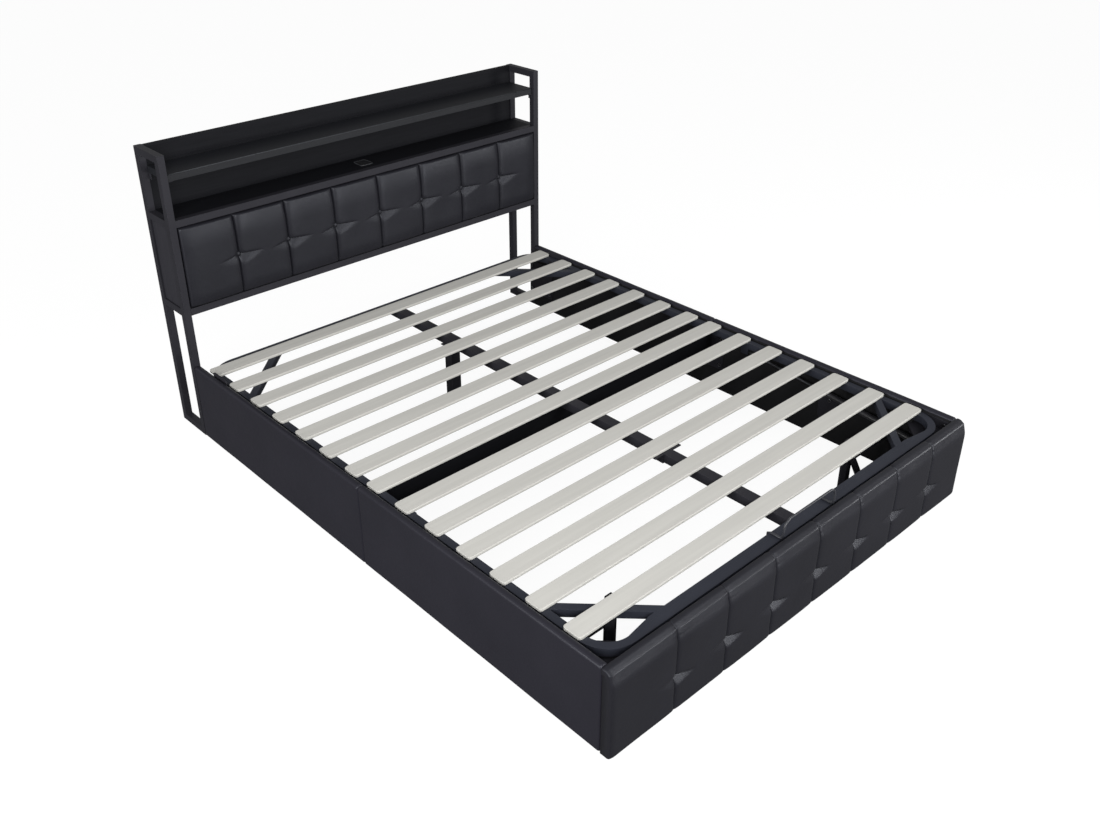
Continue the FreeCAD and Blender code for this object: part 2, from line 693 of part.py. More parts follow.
rail_half("HeadRail", "head", "middle_y")
rail_half("FootRail", "foot", "foot_inner_y")


# Footboard: a board inside a quilted pad that wraps over its top.

def footboard():
    """The padded footboard and its board."""
    lengths = ("2 * board_x", "footboard_board", "footboard_height - footboard_roll")
    spot = ("-board_x", "foot_inner_y - footboard_board", "0")
    board = block("FootBoard", lengths, spot)
    part(cut("FootboardCore", board, FOOT_BORES), "footboard_board")
    room = block("FootRoom",
                 ("2 * board_x", "footboard_board + overrun",
                  "footboard_height - footboard_roll + overrun"),
                 ("-board_x", "foot_inner_y - footboard_board", "-overrun"))
    pad = quilted_pad("FootPad", value("half_width"), value("foot_inner_y"),
                      value("footboard_thickness"), 0, value("footboard_height"),
                      value("tuft_height"))
    part(cut("FootPadding", pad, room), "footboard_pad")


footboard()


# Plates and angles that hold the box together.

def rail_plates():
    """Flat plates inside the rails: at the headboard, at the middle joint and near the foot."""
    pairs = []
    for name, spot_y, bottom, height, length, corner in (
            ("HeadPlate", "head_plate_y", "head_plate_bottom", "plate_height", "plate_length",
             "plate_corner"),
            ("MiddlePlate", "middle_y", "middle_plate_bottom", "plate_height", "plate_length",
             "plate_corner"),
            ("StayPlate", "stay_y", "stay_top - stay_height", "stay_height",
             "stay_length", "stay_corner")):
        plate = rounded_plate(name, height, length, "sheet", corner,
                              ("plate_x", spot_y, "%s + %s / 2" % (bottom, height)), TURNS["x"])
        pairs.append(both(name + "s", cut(name + "Drilled", plate, SIDE_BORES)))
    return group("RailPlates", pairs)


part(rail_plates(), "rail_plates")


def corner_gusset(bottom):
    """A level triangle in the right-hand corner, blunt at its tip by the plate's thickness."""
    piece = doc.addObject("Part::Wedge", "CornerGusset")
    for side, text in (("Xmin", "0"), ("Xmax", "corner_web"), ("Ymin", "0"),
                       ("Ymax", "corner_web"), ("Zmin", "0"), ("Zmax", "sheet"),
                       ("X2min", "corner_web - sheet"), ("X2max", "corner_web"),
                       ("Z2min", "0"), ("Z2max", "sheet")):
        piece.setExpression(side, spell(text))
    return place(piece, ("inner_x - corner_web", "foot_inner_y", bottom))


def corner_angles():
    """Angles between side rail and footboard: one with a gusset near the top, one low down."""
    pairs = []
    for name, bottom in (("UpperCorner", "corner_top - corner_height"),
                         ("LowerCorner", "corner_low")):
        long_leg = block(name + "Long", ("sheet", "corner_long_leg", "corner_height"),
                         ("plate_x", "foot_inner_y", bottom))
        short_leg = block(name + "Short", ("corner_short_leg", "sheet", "corner_height"),
                          ("inner_x - corner_short_leg", "foot_inner_y", bottom))
        pieces = [long_leg, short_leg]
        if name == "UpperCorner":
            pieces.append(corner_gusset(bottom))
        angle = weld(name, pieces)
        drilled = cut(name + "Drilled", cut(name + "Side", angle, SIDE_BORES), FOOT_BORES)
        pairs.append(both(name + "s", drilled))
    return group("CornerAngles", pairs)


part(corner_angles(), "corner_angles")
part(group("RailBolts", [both("AllSideBolts", group("RightSideBolts", side_bolts)),
                         both("AllFootBolts", group("RightFootBolts", foot_bolts))]),
     "rail_bolts")

part(block("CrossBeam", ("2 * plate_x", "beam_thickness", "beam_height"),
           ("-plate_x", "middle_y - beam_thickness / 2", "beam_top - beam_height")),
     "cross_beam")


def foot_stand():
    """The right-hand floor stand: a post, a slanted leg and an arm to the side rail."""
    post = block("StandPost", ("tube", "tube", "stand_height"),
                 ("stand_x - tube / 2", "stand_y - tube / 2", "0"))
    arm = block("StandArm", ("plate_x - stand_x", "tube", "tube"),
                ("stand_x", "stand_y - tube / 2", "stand_arm_bottom"))
    plate = block("StandPlate", ("sheet", "stand_foot_plate", "stand_foot_height"),
                  ("plate_x", "stand_y - stand_foot_plate / 2",
                   "stand_arm_bottom + tube / 2 - stand_foot_height / 2"))
    foot, top, thick = value("stand_spread"), value("stand_height"), value("tube")
    corners = [Vector(foot - thick, 0, 0), Vector(foot, 0, 0), Vector(0, 0, top),
               Vector(-thick / 2, 0, top - thick)]
    face = Part.Face(Part.makePolygon(corners + corners[:1]))
    leg = doc.addObject("Part::Feature", "StandLeg")
    leg.Shape = face.extrude(Vector(0, thick, 0))
    turn = FreeCAD.Rotation(Vector(0, 0, 1), value("stand_turn"))
    offset = turn.multVec(Vector(0, -thick / 2, 0))
    leg.Placement = FreeCAD.Placement(
        Vector(value("stand_x"), value("stand_y"), 0) + offset, turn)
    stand = weld("Stand", [post, arm, plate, leg])
    return cut("StandDrilled", stand, SIDE_BORES)


part(both("FloorStands", foot_stand()), "floor_stands")


def strut_bracket():
    """A plate on the rail with a ledge over it and the strut's lower pin."""
    plate = block("StrutPlate",
                  ("bracket_sheet", "strut_plate_length", "strut_plate_top - strut_plate_bottom"),
                  ("bracket_x", "strut_plate_y - strut_plate_length", "strut_plate_bottom"))
    ledge = block("StrutLedge", ("inner_x - strut_x + tube / 2", "strut_plate_length",
                                 "bracket_sheet"),
                  ("strut_x - tube / 2", "strut_plate_y - strut_plate_length",
                   "strut_plate_top - bracket_sheet"))
    pin = bar("StrutPin", "strut_pin", "bracket_x - strut_x + strut_eye_width / 2 + sheet", "x",
              ("strut_x - strut_eye_width / 2 - sheet", "strut_foot_y", "strut_foot_height"))
    return cut("StrutBracket", weld("StrutBracketWeld", [plate, ledge, pin]), SIDE_BORES)


part(both("StrutBrackets", strut_bracket()), "strut_brackets")


def hinge_bracket():
    """A plate on the rail with the headed pin that the platform turns on."""
    plate = rounded_plate("HingePlate", "hinge_plate_height", "hinge_plate_length",
                          "bracket_sheet", "plate_corner", ("bracket_x", "hinge_y", "hinge_z"),
                          TURNS["x"])
    pin = bar("HingePin", "hinge_pin", "bracket_x - platform_half + tube + 2 * gap + sheet", "x",
              ("platform_half - tube - 2 * gap - sheet", "hinge_y", "hinge_z"))
    head = bar("HingeHead", "hinge_head", "sheet", "x",
               ("platform_half - tube - 2 * gap - sheet", "hinge_y", "hinge_z"))
    return cut("HingeBracket", weld("HingeWeld", [plate, pin, head]), SIDE_BORES)


part(both("HingeBrackets", hinge_bracket()), "hinge_brackets")


def rests():
    """Rubber blocks that the closed platform lies on."""
    middle = block("MiddleRest", ("centre_width", "beam_thickness",
                                  "centre_bottom - beam_top - gap"),
                   ("-centre_width / 2", "middle_y - beam_thickness / 2", "beam_top"))
    side = block("SideRest", ("tube", "beam_thickness", "platform_bottom - beam_top - gap"),
                 ("platform_half - tube", "middle_y - beam_thickness / 2", "beam_top"))
    web_top = "corner_top - corner_height + sheet"
    foot = block("FootRest", ("tube", "rest_length", "platform_bottom - (%s) - gap" % web_top),
                 ("platform_half - tube", "strut_plate_y - rest_length", web_top))
    return group("Rests", [middle, both("SideRests", side), both("FootRests", foot)])


part(rests(), "rubber_rests")


# Platform: a bent tube frame in two halves, with braces, a centre rail, a leg and the slats.

def ring():
    """The frame's closed outline of tube, with bent corners."""
    outer = rounded_plate("RingOuter", "2 * platform_half", "platform_length", "tube",
                          "platform_bend", ("0", "platform_y", "platform_bottom"))
    inner = rounded_plate("RingInner", "2 * platform_half - 2 * tube",
                          "platform_length - 2 * tube", "tube + 2 * overrun",
                          "platform_bend - tube",
                          ("0", "platform_y", "platform_bottom - overrun"))
    return cut("Ring", outer, inner), inner


frame_ring, frame_room = ring()


def half_frame(name, start_y, end_y):
    """The part of the ring between two places along the bed."""
    half = block(name + "Half", ("2 * bed_width", "%s - (%s)" % (end_y, start_y), "rail_height"),
                 ("-bed_width", start_y, "0"))
    return overlap(name, frame_ring, half)


def head_frame():
    """The head half, with its hinge bores and the plates that the strut rods reach."""
    tubes = half_frame("HeadHalf", "frame_joint_y", "platform_head_y + overrun")
    bore = bar("HingeBore", "hinge_pin + gap", "tube + 2 * overrun", "x",
               ("platform_half - tube - overrun", "hinge_y", "hinge_z"))
    drilled = cut("HeadHalfDrilled", tubes, both("HingeBores", bore))
    plate_x = "platform_half - tube"
    plate = block("EyePlate", ("sheet", "eye_plate_length",
                               "platform_height - strut_top_height + strut_eye"),
                  (plate_x + " - sheet", "strut_top_y - eye_plate_length / 2",
                   "strut_top_height - strut_eye"))
    return weld("HeadFrame", [drilled, plate, mirror("EyePlateTwin", plate)])


part(head_frame(), "platform_head_frame")
part(half_frame("FootHalf", "platform_foot_y - overrun", "frame_joint_y"), "platform_foot_frame")


def stiffener():
    """A bar along the inside of the foot tube, which tapers to nothing at both ends."""
    half = "(platform_half - platform_bend)"
    piece = doc.addObject("Part::Wedge", "Stiffener")
    for side, text in (("Xmin", "-" + half), ("Xmax", half), ("Ymin", "0"),
                       ("Ymax", "stiffener_width"), ("Zmin", "0"), ("Zmax", "tube"),
                       ("X2min", "stiffener_taper - " + half),
                       ("X2max", half + " - stiffener_taper"), ("Z2min", "0"),
                       ("Z2max", "tube")):
        piece.setExpression(side, spell(text))
    return place(piece, ("0", "platform_foot_y + tube", "platform_bottom"))


part(stiffener(), "foot_stiffener")


def brace(name, reach, corner_y, heading):
    """A slanting brace from the side tube to an end tube, cut to the room inside the ring."""
    long = doc.addObject("Part::Box", name + "Long")
    long.setExpression("Length", spell("2 * %s" % reach))
    long.setExpression("Width", spell("tube"))
    long.setExpression("Height", spell("tube"))
    corner = Vector(value("platform_half"), value(corner_y), value("platform_bottom"))
    turn = FreeCAD.Rotation(Vector(0, 0, 1), heading)
    run = value(reach)
    towards = 1 if corner_y == "platform_foot_y" else -1
    middle = corner + Vector(-run / 2, towards * run / 2, 0)
    half = turn.multVec(Vector(run, value("tube") / 2, 0))
    long.Placement = FreeCAD.Placement(middle - half, turn)
    return long


BRACE_HEADING = 45
head_long = brace("HeadBrace", "head_brace", "platform_head_y", -BRACE_HEADING)
foot_long = brace("FootBrace", "foot_brace", "platform_foot_y", BRACE_HEADING)
head_room = overlap("HeadBraceCut", head_long, frame_room)
foot_room = cut("FootBraceCut", overlap("FootBraceRoom", foot_long, frame_room),
                block("StiffenerRoom", ("2 * bed_width", "stiffener_width", "tube + 2 * overrun"),
                      ("-bed_width", "platform_foot_y + tube", "platform_bottom - overrun")))
part(group("Braces", [both("HeadBraces", head_room), both("FootBraces", foot_room)]),
     "corner_braces")


def box_tube(name, lengths, walls, spot):
    """A square tube: an outer block without its inner one. Walls are zero on the open ends."""
    outer = block(name + "Outer", lengths, spot)
    inner_lengths = []
    inner_spot = []
    for length, wall, start in zip(lengths, walls, spot):
        if wall:
            inner_lengths.append("%s - 2 * %s" % (length, wall))
            inner_spot.append("%s + %s" % (start, wall))
        else:
            inner_lengths.append("%s + 2 * overrun" % length)
            inner_spot.append("%s - overrun" % start)
    return cut(name, outer, block(name + "Inner", inner_lengths, inner_spot))


part(box_tube("CentreRail",
              ("centre_width", "platform_length - 2 * tube - stiffener_width",
               "centre_rail_depth"),
              ("centre_wall", "", "centre_wall"),
              ("-centre_width / 2", "platform_foot_y + tube + stiffener_width",
               "centre_bottom")), "centre_rail")


def saddle():
    """A hat-shaped sleeve under the centre rail, with an ear on each side."""
    start_y = "frame_joint_y - saddle_length / 2"
    strap = block("SaddleStrap", ("centre_width + 2 * sheet", "saddle_length", "sheet"),
                  ("-centre_width / 2 - sheet", start_y, "centre_bottom - sheet"))
    web = block("SaddleWeb", ("sheet", "saddle_length", "centre_rail_depth + sheet"),
                ("centre_width / 2", start_y, "centre_bottom - sheet"))
    ear = block("SaddleEar", ("saddle_ear", "saddle_length", "sheet"),
                ("centre_width / 2", start_y, "platform_height - sheet"))
    return weld("Saddle", [strap, web, ear, mirror("SaddleWebTwin", web),
                           mirror("SaddleEarTwin", ear)])


part(saddle(), "centre_saddle")


def centre_leg():
    """The leg under the centre rail: a square tube with a plate on top."""
    spot = ("-centre_width / 2", "face_y - leg_place - centre_width / 2", "glide")
    tube_piece = box_tube("LegTube",
                          ("centre_width", "centre_width", "centre_bottom - sheet - glide"),
                          ("centre_wall", "centre_wall", ""), spot)
    plate = block("LegPlate", ("leg_plate", "leg_plate", "sheet"),
                  ("-leg_plate / 2", "face_y - leg_place - leg_plate / 2",
                   "centre_bottom - sheet"))
    glide_piece = block("LegGlide", ("centre_width", "centre_width", "glide - gap"),
                        ("-centre_width / 2", "face_y - leg_place - centre_width / 2", "gap"))
    return weld("CentreLeg", [tube_piece, plate, glide_piece])


part(centre_leg(), "centre_leg")


def bent_rod(name, corners, bends, radius):
    """A round rod along straight runs, with a square bend of its own radius at each corner."""
    edges = []
    last = corners[0]
    for before, corner, after, bend in zip(corners, corners[1:], corners[2:], bends):
        come = (corner - before).normalize()
        leave = (after - corner).normalize()
        start = corner - come * bend
        end = corner + leave * bend
        middle = start + leave * bend
        crown = middle + (corner - middle).normalize() * bend
        edges += [Part.makeLine(last, start), Part.Arc(start, crown, end).toShape()]
        last = end
    edges.append(Part.makeLine(last, corners[-1]))
    ring = Part.Circle(corners[0], corners[1] - corners[0], radius).toShape()
    piece = doc.addObject("Part::Feature", name)
    piece.Shape = Part.Wire(edges).makePipeShell([Part.Wire(ring)], True, False)
    return piece


def mattress_stop():
    """A rod that hooks behind the foot tube, crosses it, rises, runs along and comes back."""
    radius = value("stop_rod")
    left = value("stop_offset") - value("stop_width") / 2 + radius
    right = value("stop_offset") + value("stop_width") / 2 - radius
    bar_y = value("platform_foot_y") + value("tube") + value("stiffener_width")
    inner = bar_y + value("stop_slack") + radius
    outer = value("platform_foot_y") - value("stop_out")
    top = value("stop_height") - radius
    over = value("platform_height") + radius
    hook = value("platform_height") - value("stop_hook")
    rise = [(inner, hook), (inner, over), (outer, over), (outer, top)]
    corners = [Vector(left, y, z) for y, z in rise]
    corners += [Vector(right, y, z) for y, z in reversed(rise)]
    small, large = value("stop_foot_bend"), value("stop_bend")
    return bent_rod("StopRod", corners, [small, small, large, large, small, small], radius)


part(mattress_stop(), "mattress_stop")

for number in range(SLATS):
    beyond = number >= SLATS_TO_BEAM
    middle_pitches = BEAM_PITCHES if beyond else 0
    pitches = number - middle_pitches
    slat_y = "face_y - slat_start - slat_width / 2 - slat_pitch * %d" % pitches
    slat_y += " - slat_middle_pitch * %d" % middle_pitches
    part(rounded_plate("Slat%d" % (number + 1), "2 * slat_half", "slat_width", "slat_thickness",
                       "slat_corner", ("0", slat_y, "platform_height")),
         "slat_%02d" % (number + 1))


# Gas struts, drawn along Y from their lower pivot and then tilted to reach the platform.

def eye(name, along):
    """A bored eye square to the strut, at a place along it."""
    outer = bar(name + "Outer", "strut_eye", "strut_eye_width", "x",
                ("-strut_eye_width / 2", along, "0"))
    bore = bar(name + "Bore", "strut_pin + gap", "strut_eye_width + 2 * overrun", "x",
               ("-strut_eye_width / 2 - overrun", along, "0"))
    return outer, bore


def tilt(piece):
    """Set a strut piece at its lower pivot and along the closed strut's slope."""
    slope = math.degrees(math.atan2(value("strut_rise"), value("strut_run")))
    piece.Placement = FreeCAD.Placement(Vector(), FreeCAD.Rotation(Vector(1, 0, 0), slope))
    return place(piece, ("strut_x", "strut_foot_y", "strut_foot_height"))


def strut_cylinder():
    """The gas cylinder with its lower eye and the guide at its open end."""
    outer, bore = eye("LowerEye", "0")
    neck = bar("CylinderNeck", "rod_radius", "strut_eye + eye_neck", "y", ("0", "0", "0"))
    shell = bar("CylinderShell", "cylinder_radius", "cylinder_end - strut_eye - eye_neck", "y",
                ("0", "strut_eye + eye_neck", "0"))
    room = bar("CylinderRoom", "cylinder_radius - cylinder_wall",
               "cylinder_end - gland_length - strut_eye - eye_neck - cylinder_wall", "y",
               ("0", "strut_eye + eye_neck + cylinder_wall", "0"))
    guide = bar("CylinderGuide", "rod_radius + gap", "gland_length + 2 * overrun", "y",
                ("0", "cylinder_end - gland_length - overrun", "0"))
    body = weld("CylinderWeld", [outer, neck, shell])
    return tilt(cut("Cylinder", body, group("CylinderRooms", [room, guide, bore])))


def strut_rod():
    """The rod with its piston and its upper eye."""
    outer, bore = eye("UpperEye", "strut_length")
    rod = bar("RodBar", "rod_radius", "strut_length - rod_start", "y", ("0", "rod_start", "0"))
    piston = bar("Piston", "cylinder_radius - cylinder_wall - gap", "piston_length", "y",
                 ("0", "rod_start", "0"))
    body = weld("RodWeld", [rod, piston, outer])
    return tilt(cut("Rod", body, bore))


part_pair(strut_cylinder(), "strut_cylinder")
part_pair(strut_rod(), "strut_rod")


# Check every object and write one file for each piece.

doc.recompute()
for item in doc.Objects:
    if "Invalid" in item.State or "Error" in item.State:
        raise RuntimeError("%s failed: %s" % (item.Name, item.State))
for piece in PARTS:
    if piece.Shape.isNull() or not piece.Shape.isValid():
        raise RuntimeError("%s has no valid shape" % piece.Label)

os.makedirs("parts", exist_ok=True)
for piece in PARTS:
    piece.Shape.exportStep("parts/%s.step" % piece.Label)
    box = piece.Shape.optimalBoundingBox()
    print("%-24s %2d solids  X %8.1f %8.1f  Y %8.1f %8.1f  Z %7.1f %7.1f" % (
        piece.Label, len(piece.Shape.Solids), box.XMin, box.XMax, box.YMin, box.YMax,
        box.ZMin, box.ZMax))
print("%d pieces" % len(PARTS))
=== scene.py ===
# %% [markdown]
# # An upholstered storage bed
#
# This lesson dresses a CAD model of a bed in Blender. The CAD pieces arrive with exact places and
# flat faces. What they lack is softness: the padded headboard, the padded footboard and the
# covered side rails. Those are made here as surfaces worked out with numpy, and every piece gets
# a finish that is computed and not painted. Lengths are in metres. X runs to the right as seen
# from the foot, Y towards the headboard and Z up.

# %% Load the frame
import json

import bmesh
import bpy
import numpy as np
from mathutils import Euler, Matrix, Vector


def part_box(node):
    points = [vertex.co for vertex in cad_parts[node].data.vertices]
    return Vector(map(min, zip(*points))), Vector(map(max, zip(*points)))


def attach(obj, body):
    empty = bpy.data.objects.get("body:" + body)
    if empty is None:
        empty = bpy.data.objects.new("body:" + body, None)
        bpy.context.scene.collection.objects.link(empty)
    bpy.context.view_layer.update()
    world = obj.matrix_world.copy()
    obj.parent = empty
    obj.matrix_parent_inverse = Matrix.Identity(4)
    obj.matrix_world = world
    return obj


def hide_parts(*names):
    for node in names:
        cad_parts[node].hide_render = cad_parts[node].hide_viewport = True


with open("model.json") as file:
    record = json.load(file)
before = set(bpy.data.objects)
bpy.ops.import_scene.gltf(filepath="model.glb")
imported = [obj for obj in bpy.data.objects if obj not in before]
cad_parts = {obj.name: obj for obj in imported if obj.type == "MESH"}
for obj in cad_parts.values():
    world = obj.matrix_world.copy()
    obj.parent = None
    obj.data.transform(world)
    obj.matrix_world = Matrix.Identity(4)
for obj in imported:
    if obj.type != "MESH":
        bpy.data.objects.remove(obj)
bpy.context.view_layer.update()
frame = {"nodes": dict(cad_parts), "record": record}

# %% [markdown]
# ## From arrays to a mesh
#
# A surface is a table of points: rows run one way over it and columns the other. Four
# neighbours make one face. The whole table goes to Blender at once, because a loop over
# thousands of vertices would be slow and would hide the formula that matters.

# %% Grid helpers
SAME_POINT = 1e-6
SLIVER_EDGE = 1e-7


def grid_faces(rows, columns, wrap_rows=False, wrap_columns=False):
    """Each face joins a point to the next in its row, the one below that and the one below."""
    row = np.arange(rows if wrap_rows else rows - 1)[:, None]
    column = np.arange(columns if wrap_columns else columns - 1)[None, :]
    beside, below = (column + 1) % columns, (row + 1) % rows
    corners = [row * columns + column, row * columns + beside,
               below * columns + beside, below * columns + column]
    return np.stack(corners, axis=-1).reshape(-1, 4)


def join_tables(tables):
    """Several (points, faces) pairs as one: each one's faces count on from the points before."""
    starts = np.cumsum([0] + [len(points) for points, _ in tables])
    points = np.concatenate([points for points, _ in tables])
    return points, np.concatenate([faces + start for (_, faces), start in zip(tables, starts)])


def make_piece(name, points, faces, body):
    """Put points and faces in a mesh, join what coincides, turn faces outwards, ride a body."""
    mesh = bpy.data.meshes.new(name)
    mesh.from_pydata(points.reshape(-1, 3).tolist(), [], faces.tolist())
    shell = bmesh.new()
    shell.from_mesh(mesh)
    bmesh.ops.remove_doubles(shell, verts=shell.verts, dist=SAME_POINT)
    bmesh.ops.dissolve_degenerate(shell, edges=shell.edges, dist=SLIVER_EDGE)
    bmesh.ops.recalc_face_normals(shell, faces=shell.faces)
    shell.to_mesh(mesh)
    shell.free()
    mesh.polygons.foreach_set("use_smooth", np.ones(len(mesh.polygons), bool))
    piece = bpy.data.objects.new(name, mesh)
    bpy.context.scene.collection.objects.link(piece)
    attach(piece, body)
    print(name, len(mesh.vertices), "vertices", len(mesh.polygons), "faces")
    return piece


def crowd_ends(count):
    """Numbers from 0 to 1 that crowd at both ends: half of one minus a cosine."""
    return 0.5 - 0.5 * np.cos(np.linspace(0, np.pi, count))


# %% [markdown]
# ## How a tufted cover is drawn in
#
# The cover is full in the middle of each sewn column. It is drawn in along the seams between the
# columns, and once more at one tuft on each seam, where a thread pulls it to the board. From each
# tuft a short pleat runs sideways: the leather above it hangs over the leather below, which
# rises out of the pleat as a flat three-cornered facet. So the depth at any point comes from
# three simple pulls, which all fade with distance.

# %% The pull of a seam
SEAMS = np.arange(-3, 4)


def seam_distance(x, column, middle=0.0):
    """Signed distance to the nearest of seven seams, and the same in columns, at most a half."""
    place = (x - middle) / column
    seam = np.clip(np.round(place), SEAMS[0], SEAMS[-1])
    return (place - seam) * column, np.minimum(np.abs(place - seam), 0.5)


def seam_pull(near, depth, power):
    """Depth times one minus the root of 1 - (1 - 2 d) to a power, d being 0 at the seam."""
    return depth * (1 - np.sqrt(np.clip(1 - (1 - 2 * near) ** power, 0, 1)))


print("share of a seam's depth at 0, 1, 5 and 50 % of a column from it:",
      seam_pull(np.array([0.0, 0.01, 0.05, 0.5]), 1.0, 15.0).round(2))

# %% [markdown]
# A pleat is deepest at its tuft and runs out 7 to 10 cm to either side. Its depth, reach and
# droop differ left and right of the seam, as they do in the photograph, so each is a pair.

# %% The pull of a tuft and its pleats
SIDE_BLEND = 0.004
PLEAT_ABOVE = 0.0032
PINCH_REACH = 0.012
DEEPEST_PULL = 0.0225
NEVER_ZERO = 1e-6


def pleat_drop(offset, droops):
    """How far the pleat hangs below the tuft: the distance times a droop, left and right."""
    return np.abs(offset) * np.where(offset < 0, *droops)


def pleat_pull(offset, z, tuft, depths, reaches, droops, facet, fades):
    """Depth, fading along the pleat, times a quick fall-off above it and a facet below. Depths,
    reaches and droops are pairs, left and right of the seam. The fades are two powers, along
    the pleat and down the facet: near 1 the facet is flat, and near 2 it is a soft hollow."""
    side = 0.5 + 0.5 * np.tanh(offset / SIDE_BLEND)
    depth = depths[0] + (depths[1] - depths[0]) * side
    reach = np.where(offset < 0, *reaches)
    along = np.clip(1 - np.abs(offset) / reach, 0, 1)
    rise = z - tuft + pleat_drop(offset, droops)
    above = np.exp(-np.maximum(rise, 0) / PLEAT_ABOVE)
    below = np.clip(1 + rise / (facet * along + NEVER_ZERO), 0, 1) ** fades[1]
    return depth * along ** fades[0] * np.where(rise > 0, above, below)


def pinch_pull(offset, z, tuft, depth):
    """A round dimple at the tuft: depth times a bell curve."""
    return depth * np.exp(-(offset ** 2 + (z - tuft) ** 2) / PINCH_REACH ** 2)


# %% [markdown]
# Foam never lies quite even, and it thins towards the edges of its board. A slow ripple, a
# quarter circle at the edge itself and a low crown further in give that.


# %% Ripples and edges
def ripple(a, b, height):
    """Half the height times the sum of three sine waves. None of them is in step with the
    columns, so that no two columns look the same."""
    waves = (np.sin(9.1 * a + 1.7) * np.sin(13.3 * b + 0.4)
             + 0.6 * np.sin(23.7 * a - 4.1 * b) + 0.4 * np.sin(37.0 * b + 17.0 * a + 2.2))
    return height * waves / 2


def edge_roll(distance, radius):
    """A quarter circle: the root of 1 - (1 - distance / radius) squared, and 1 further in."""
    inside = np.clip(distance / radius, 0, 1)
    return np.sqrt(1 - (1 - inside) ** 2)


def crown(distance, reach, drop):
    """A share of the height: 1 inside, less towards an edge by drop times a square."""
    return 1 - drop * (1 - np.clip(distance / reach, 0, 1)) ** 2


print("height of a 7 mm edge at 0, 1, 3 and 7 mm:",
      edge_roll(np.array([0.0, 1.0, 3.0, 7.0]), 7.0).round(2))

# %% [markdown]
# ## The headboard pad
#
# Foam on a board, covered in leather, with seven buttons. A blown-up cushion would be a cloth
# simulation, but here threads hold the cover at known lines, so a worked-out surface gives the
# seams and pleats more exactly. The front is a height above the board, and it falls to nothing
# at the four edges. Each seam is a narrow groove in a wider hollow, and the hollow deepens
# towards the top edge, where the leather curls over.

# %% Front of the headboard pad
low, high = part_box("headboard_pad")
PAD_INSET, PAD_SWELL = 0.0012, 0.0015
PAD_HALF = high.x - PAD_INSET
PAD_COLUMN = PAD_HALF / 4
PAD_LOW, PAD_HIGH = low.z + PAD_INSET, high.z - PAD_INSET
PAD_BACK = high.y
PAD_DEPTH = high.y - low.y + PAD_SWELL
PAD_TUFT = (low.z + high.z) / 2
PAD_GROOVE = {"depth": 0.0095, "power": 15.0}
HOLLOW_DEPTH, HOLLOW_POWER = 0.0050, 4.0
CURL_DEPTH, CURL_REACH = 0.0120, 0.045
PAD_DROOPS = 0.15, 0.04
PAD_PLEAT = {"depths": (0.0100, 0.0180), "reaches": (0.085, 0.105), "droops": PAD_DROOPS,
             "facet": 0.048, "fades": (2.0, 1.4)}
PAD_PINCH, PAD_RIPPLE = 0.0045, 0.0009


def pad_front(x, z):
    """Height of the headboard cover over its board, before the edges are rolled: the depth,
    less the root of seam squared plus pleat squared, less the dimple, plus the ripple."""
    offset, near = seam_distance(x, PAD_COLUMN)
    curl = CURL_DEPTH * np.exp(-(PAD_HIGH - z) / CURL_REACH)
    seam = seam_pull(near, **PAD_GROOVE) + seam_pull(near, HOLLOW_DEPTH + curl, HOLLOW_POWER)
    pleat = pleat_pull(offset, z, PAD_TUFT, **PAD_PLEAT)
    pull = np.hypot(seam, pleat) + pinch_pull(offset, z, PAD_TUFT, PAD_PINCH)
    return PAD_DEPTH - np.minimum(pull, DEEPEST_PULL) + ripple(x, z, PAD_RIPPLE)


print("headboard columns are", round(PAD_COLUMN, 4), "wide, tufts at height", round(PAD_TUFT, 4))

# %% [markdown]
# The grid crowds its lines at the seams, at the edges and at the height of the tufts, and it
# sags with the pleats, so that each crease has lines of its own. The back is a flat copy of the
# same grid. Where the front falls to nothing the two share their points, and the shell is shut.

# %% Headboard pad
ACROSS_COLUMN, UP_HALF = 36, 50
SAG_REACH = 0.05
PAD_ROLL = 0.007
SIDE_CROWN, TOP_CROWN, BOTTOM_CROWN = (0.060, 0.30), (0.080, 0.24), (0.050, 0.25)


def column_stations(half, column, middle, per_column):
    """Places across a pad that crowd at each seam and at both ends: between two neighbouring
    lines, the first plus their distance times the crowded numbers."""
    lines = np.concatenate([[-half], middle + column * SEAMS, [half]])
    stations = lines[:-1, None] + np.diff(lines)[:, None] * crowd_ends(per_column + 1)[:-1]
    return np.append(stations.ravel(), half)


across = column_stations(PAD_HALF, PAD_COLUMN, 0.0, ACROSS_COLUMN)[None, :]
lower = PAD_LOW + (PAD_TUFT - PAD_LOW) * crowd_ends(UP_HALF)
upper = PAD_TUFT + (PAD_HIGH - PAD_TUFT) * crowd_ends(UP_HALF)[1:]
level = np.append(lower, upper)[:, None]
pad_offset, _ = seam_distance(across, PAD_COLUMN)
sag = pleat_drop(pad_offset, PAD_DROOPS) * np.exp(-((level - PAD_TUFT) / SAG_REACH) ** 2)
pad_x, pad_z = np.broadcast_arrays(across + 0 * level, level - sag)
from_side, from_top, from_bottom = PAD_HALF - np.abs(pad_x), PAD_HIGH - pad_z, pad_z - PAD_LOW
rolled = (edge_roll(from_side, PAD_ROLL) * edge_roll(from_top, PAD_ROLL)
          * edge_roll(from_bottom, PAD_ROLL))
share = (rolled * crown(from_side, *SIDE_CROWN) * crown(from_top, *TOP_CROWN)
         * crown(from_bottom, *BOTTOM_CROWN))
front = np.stack([pad_x, PAD_BACK - share * pad_front(pad_x, pad_z), pad_z], axis=-1)
back = np.stack([pad_x, np.full_like(pad_x, PAD_BACK), pad_z], axis=-1)
sheet = grid_faces(*pad_x.shape)
points, faces = join_tables([(front.reshape(-1, 3), sheet), (back.reshape(-1, 3), sheet[:, ::-1])])
headboard_cushion = make_piece("headboard_cushion", points, faces, "box")
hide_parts("headboard_pad")

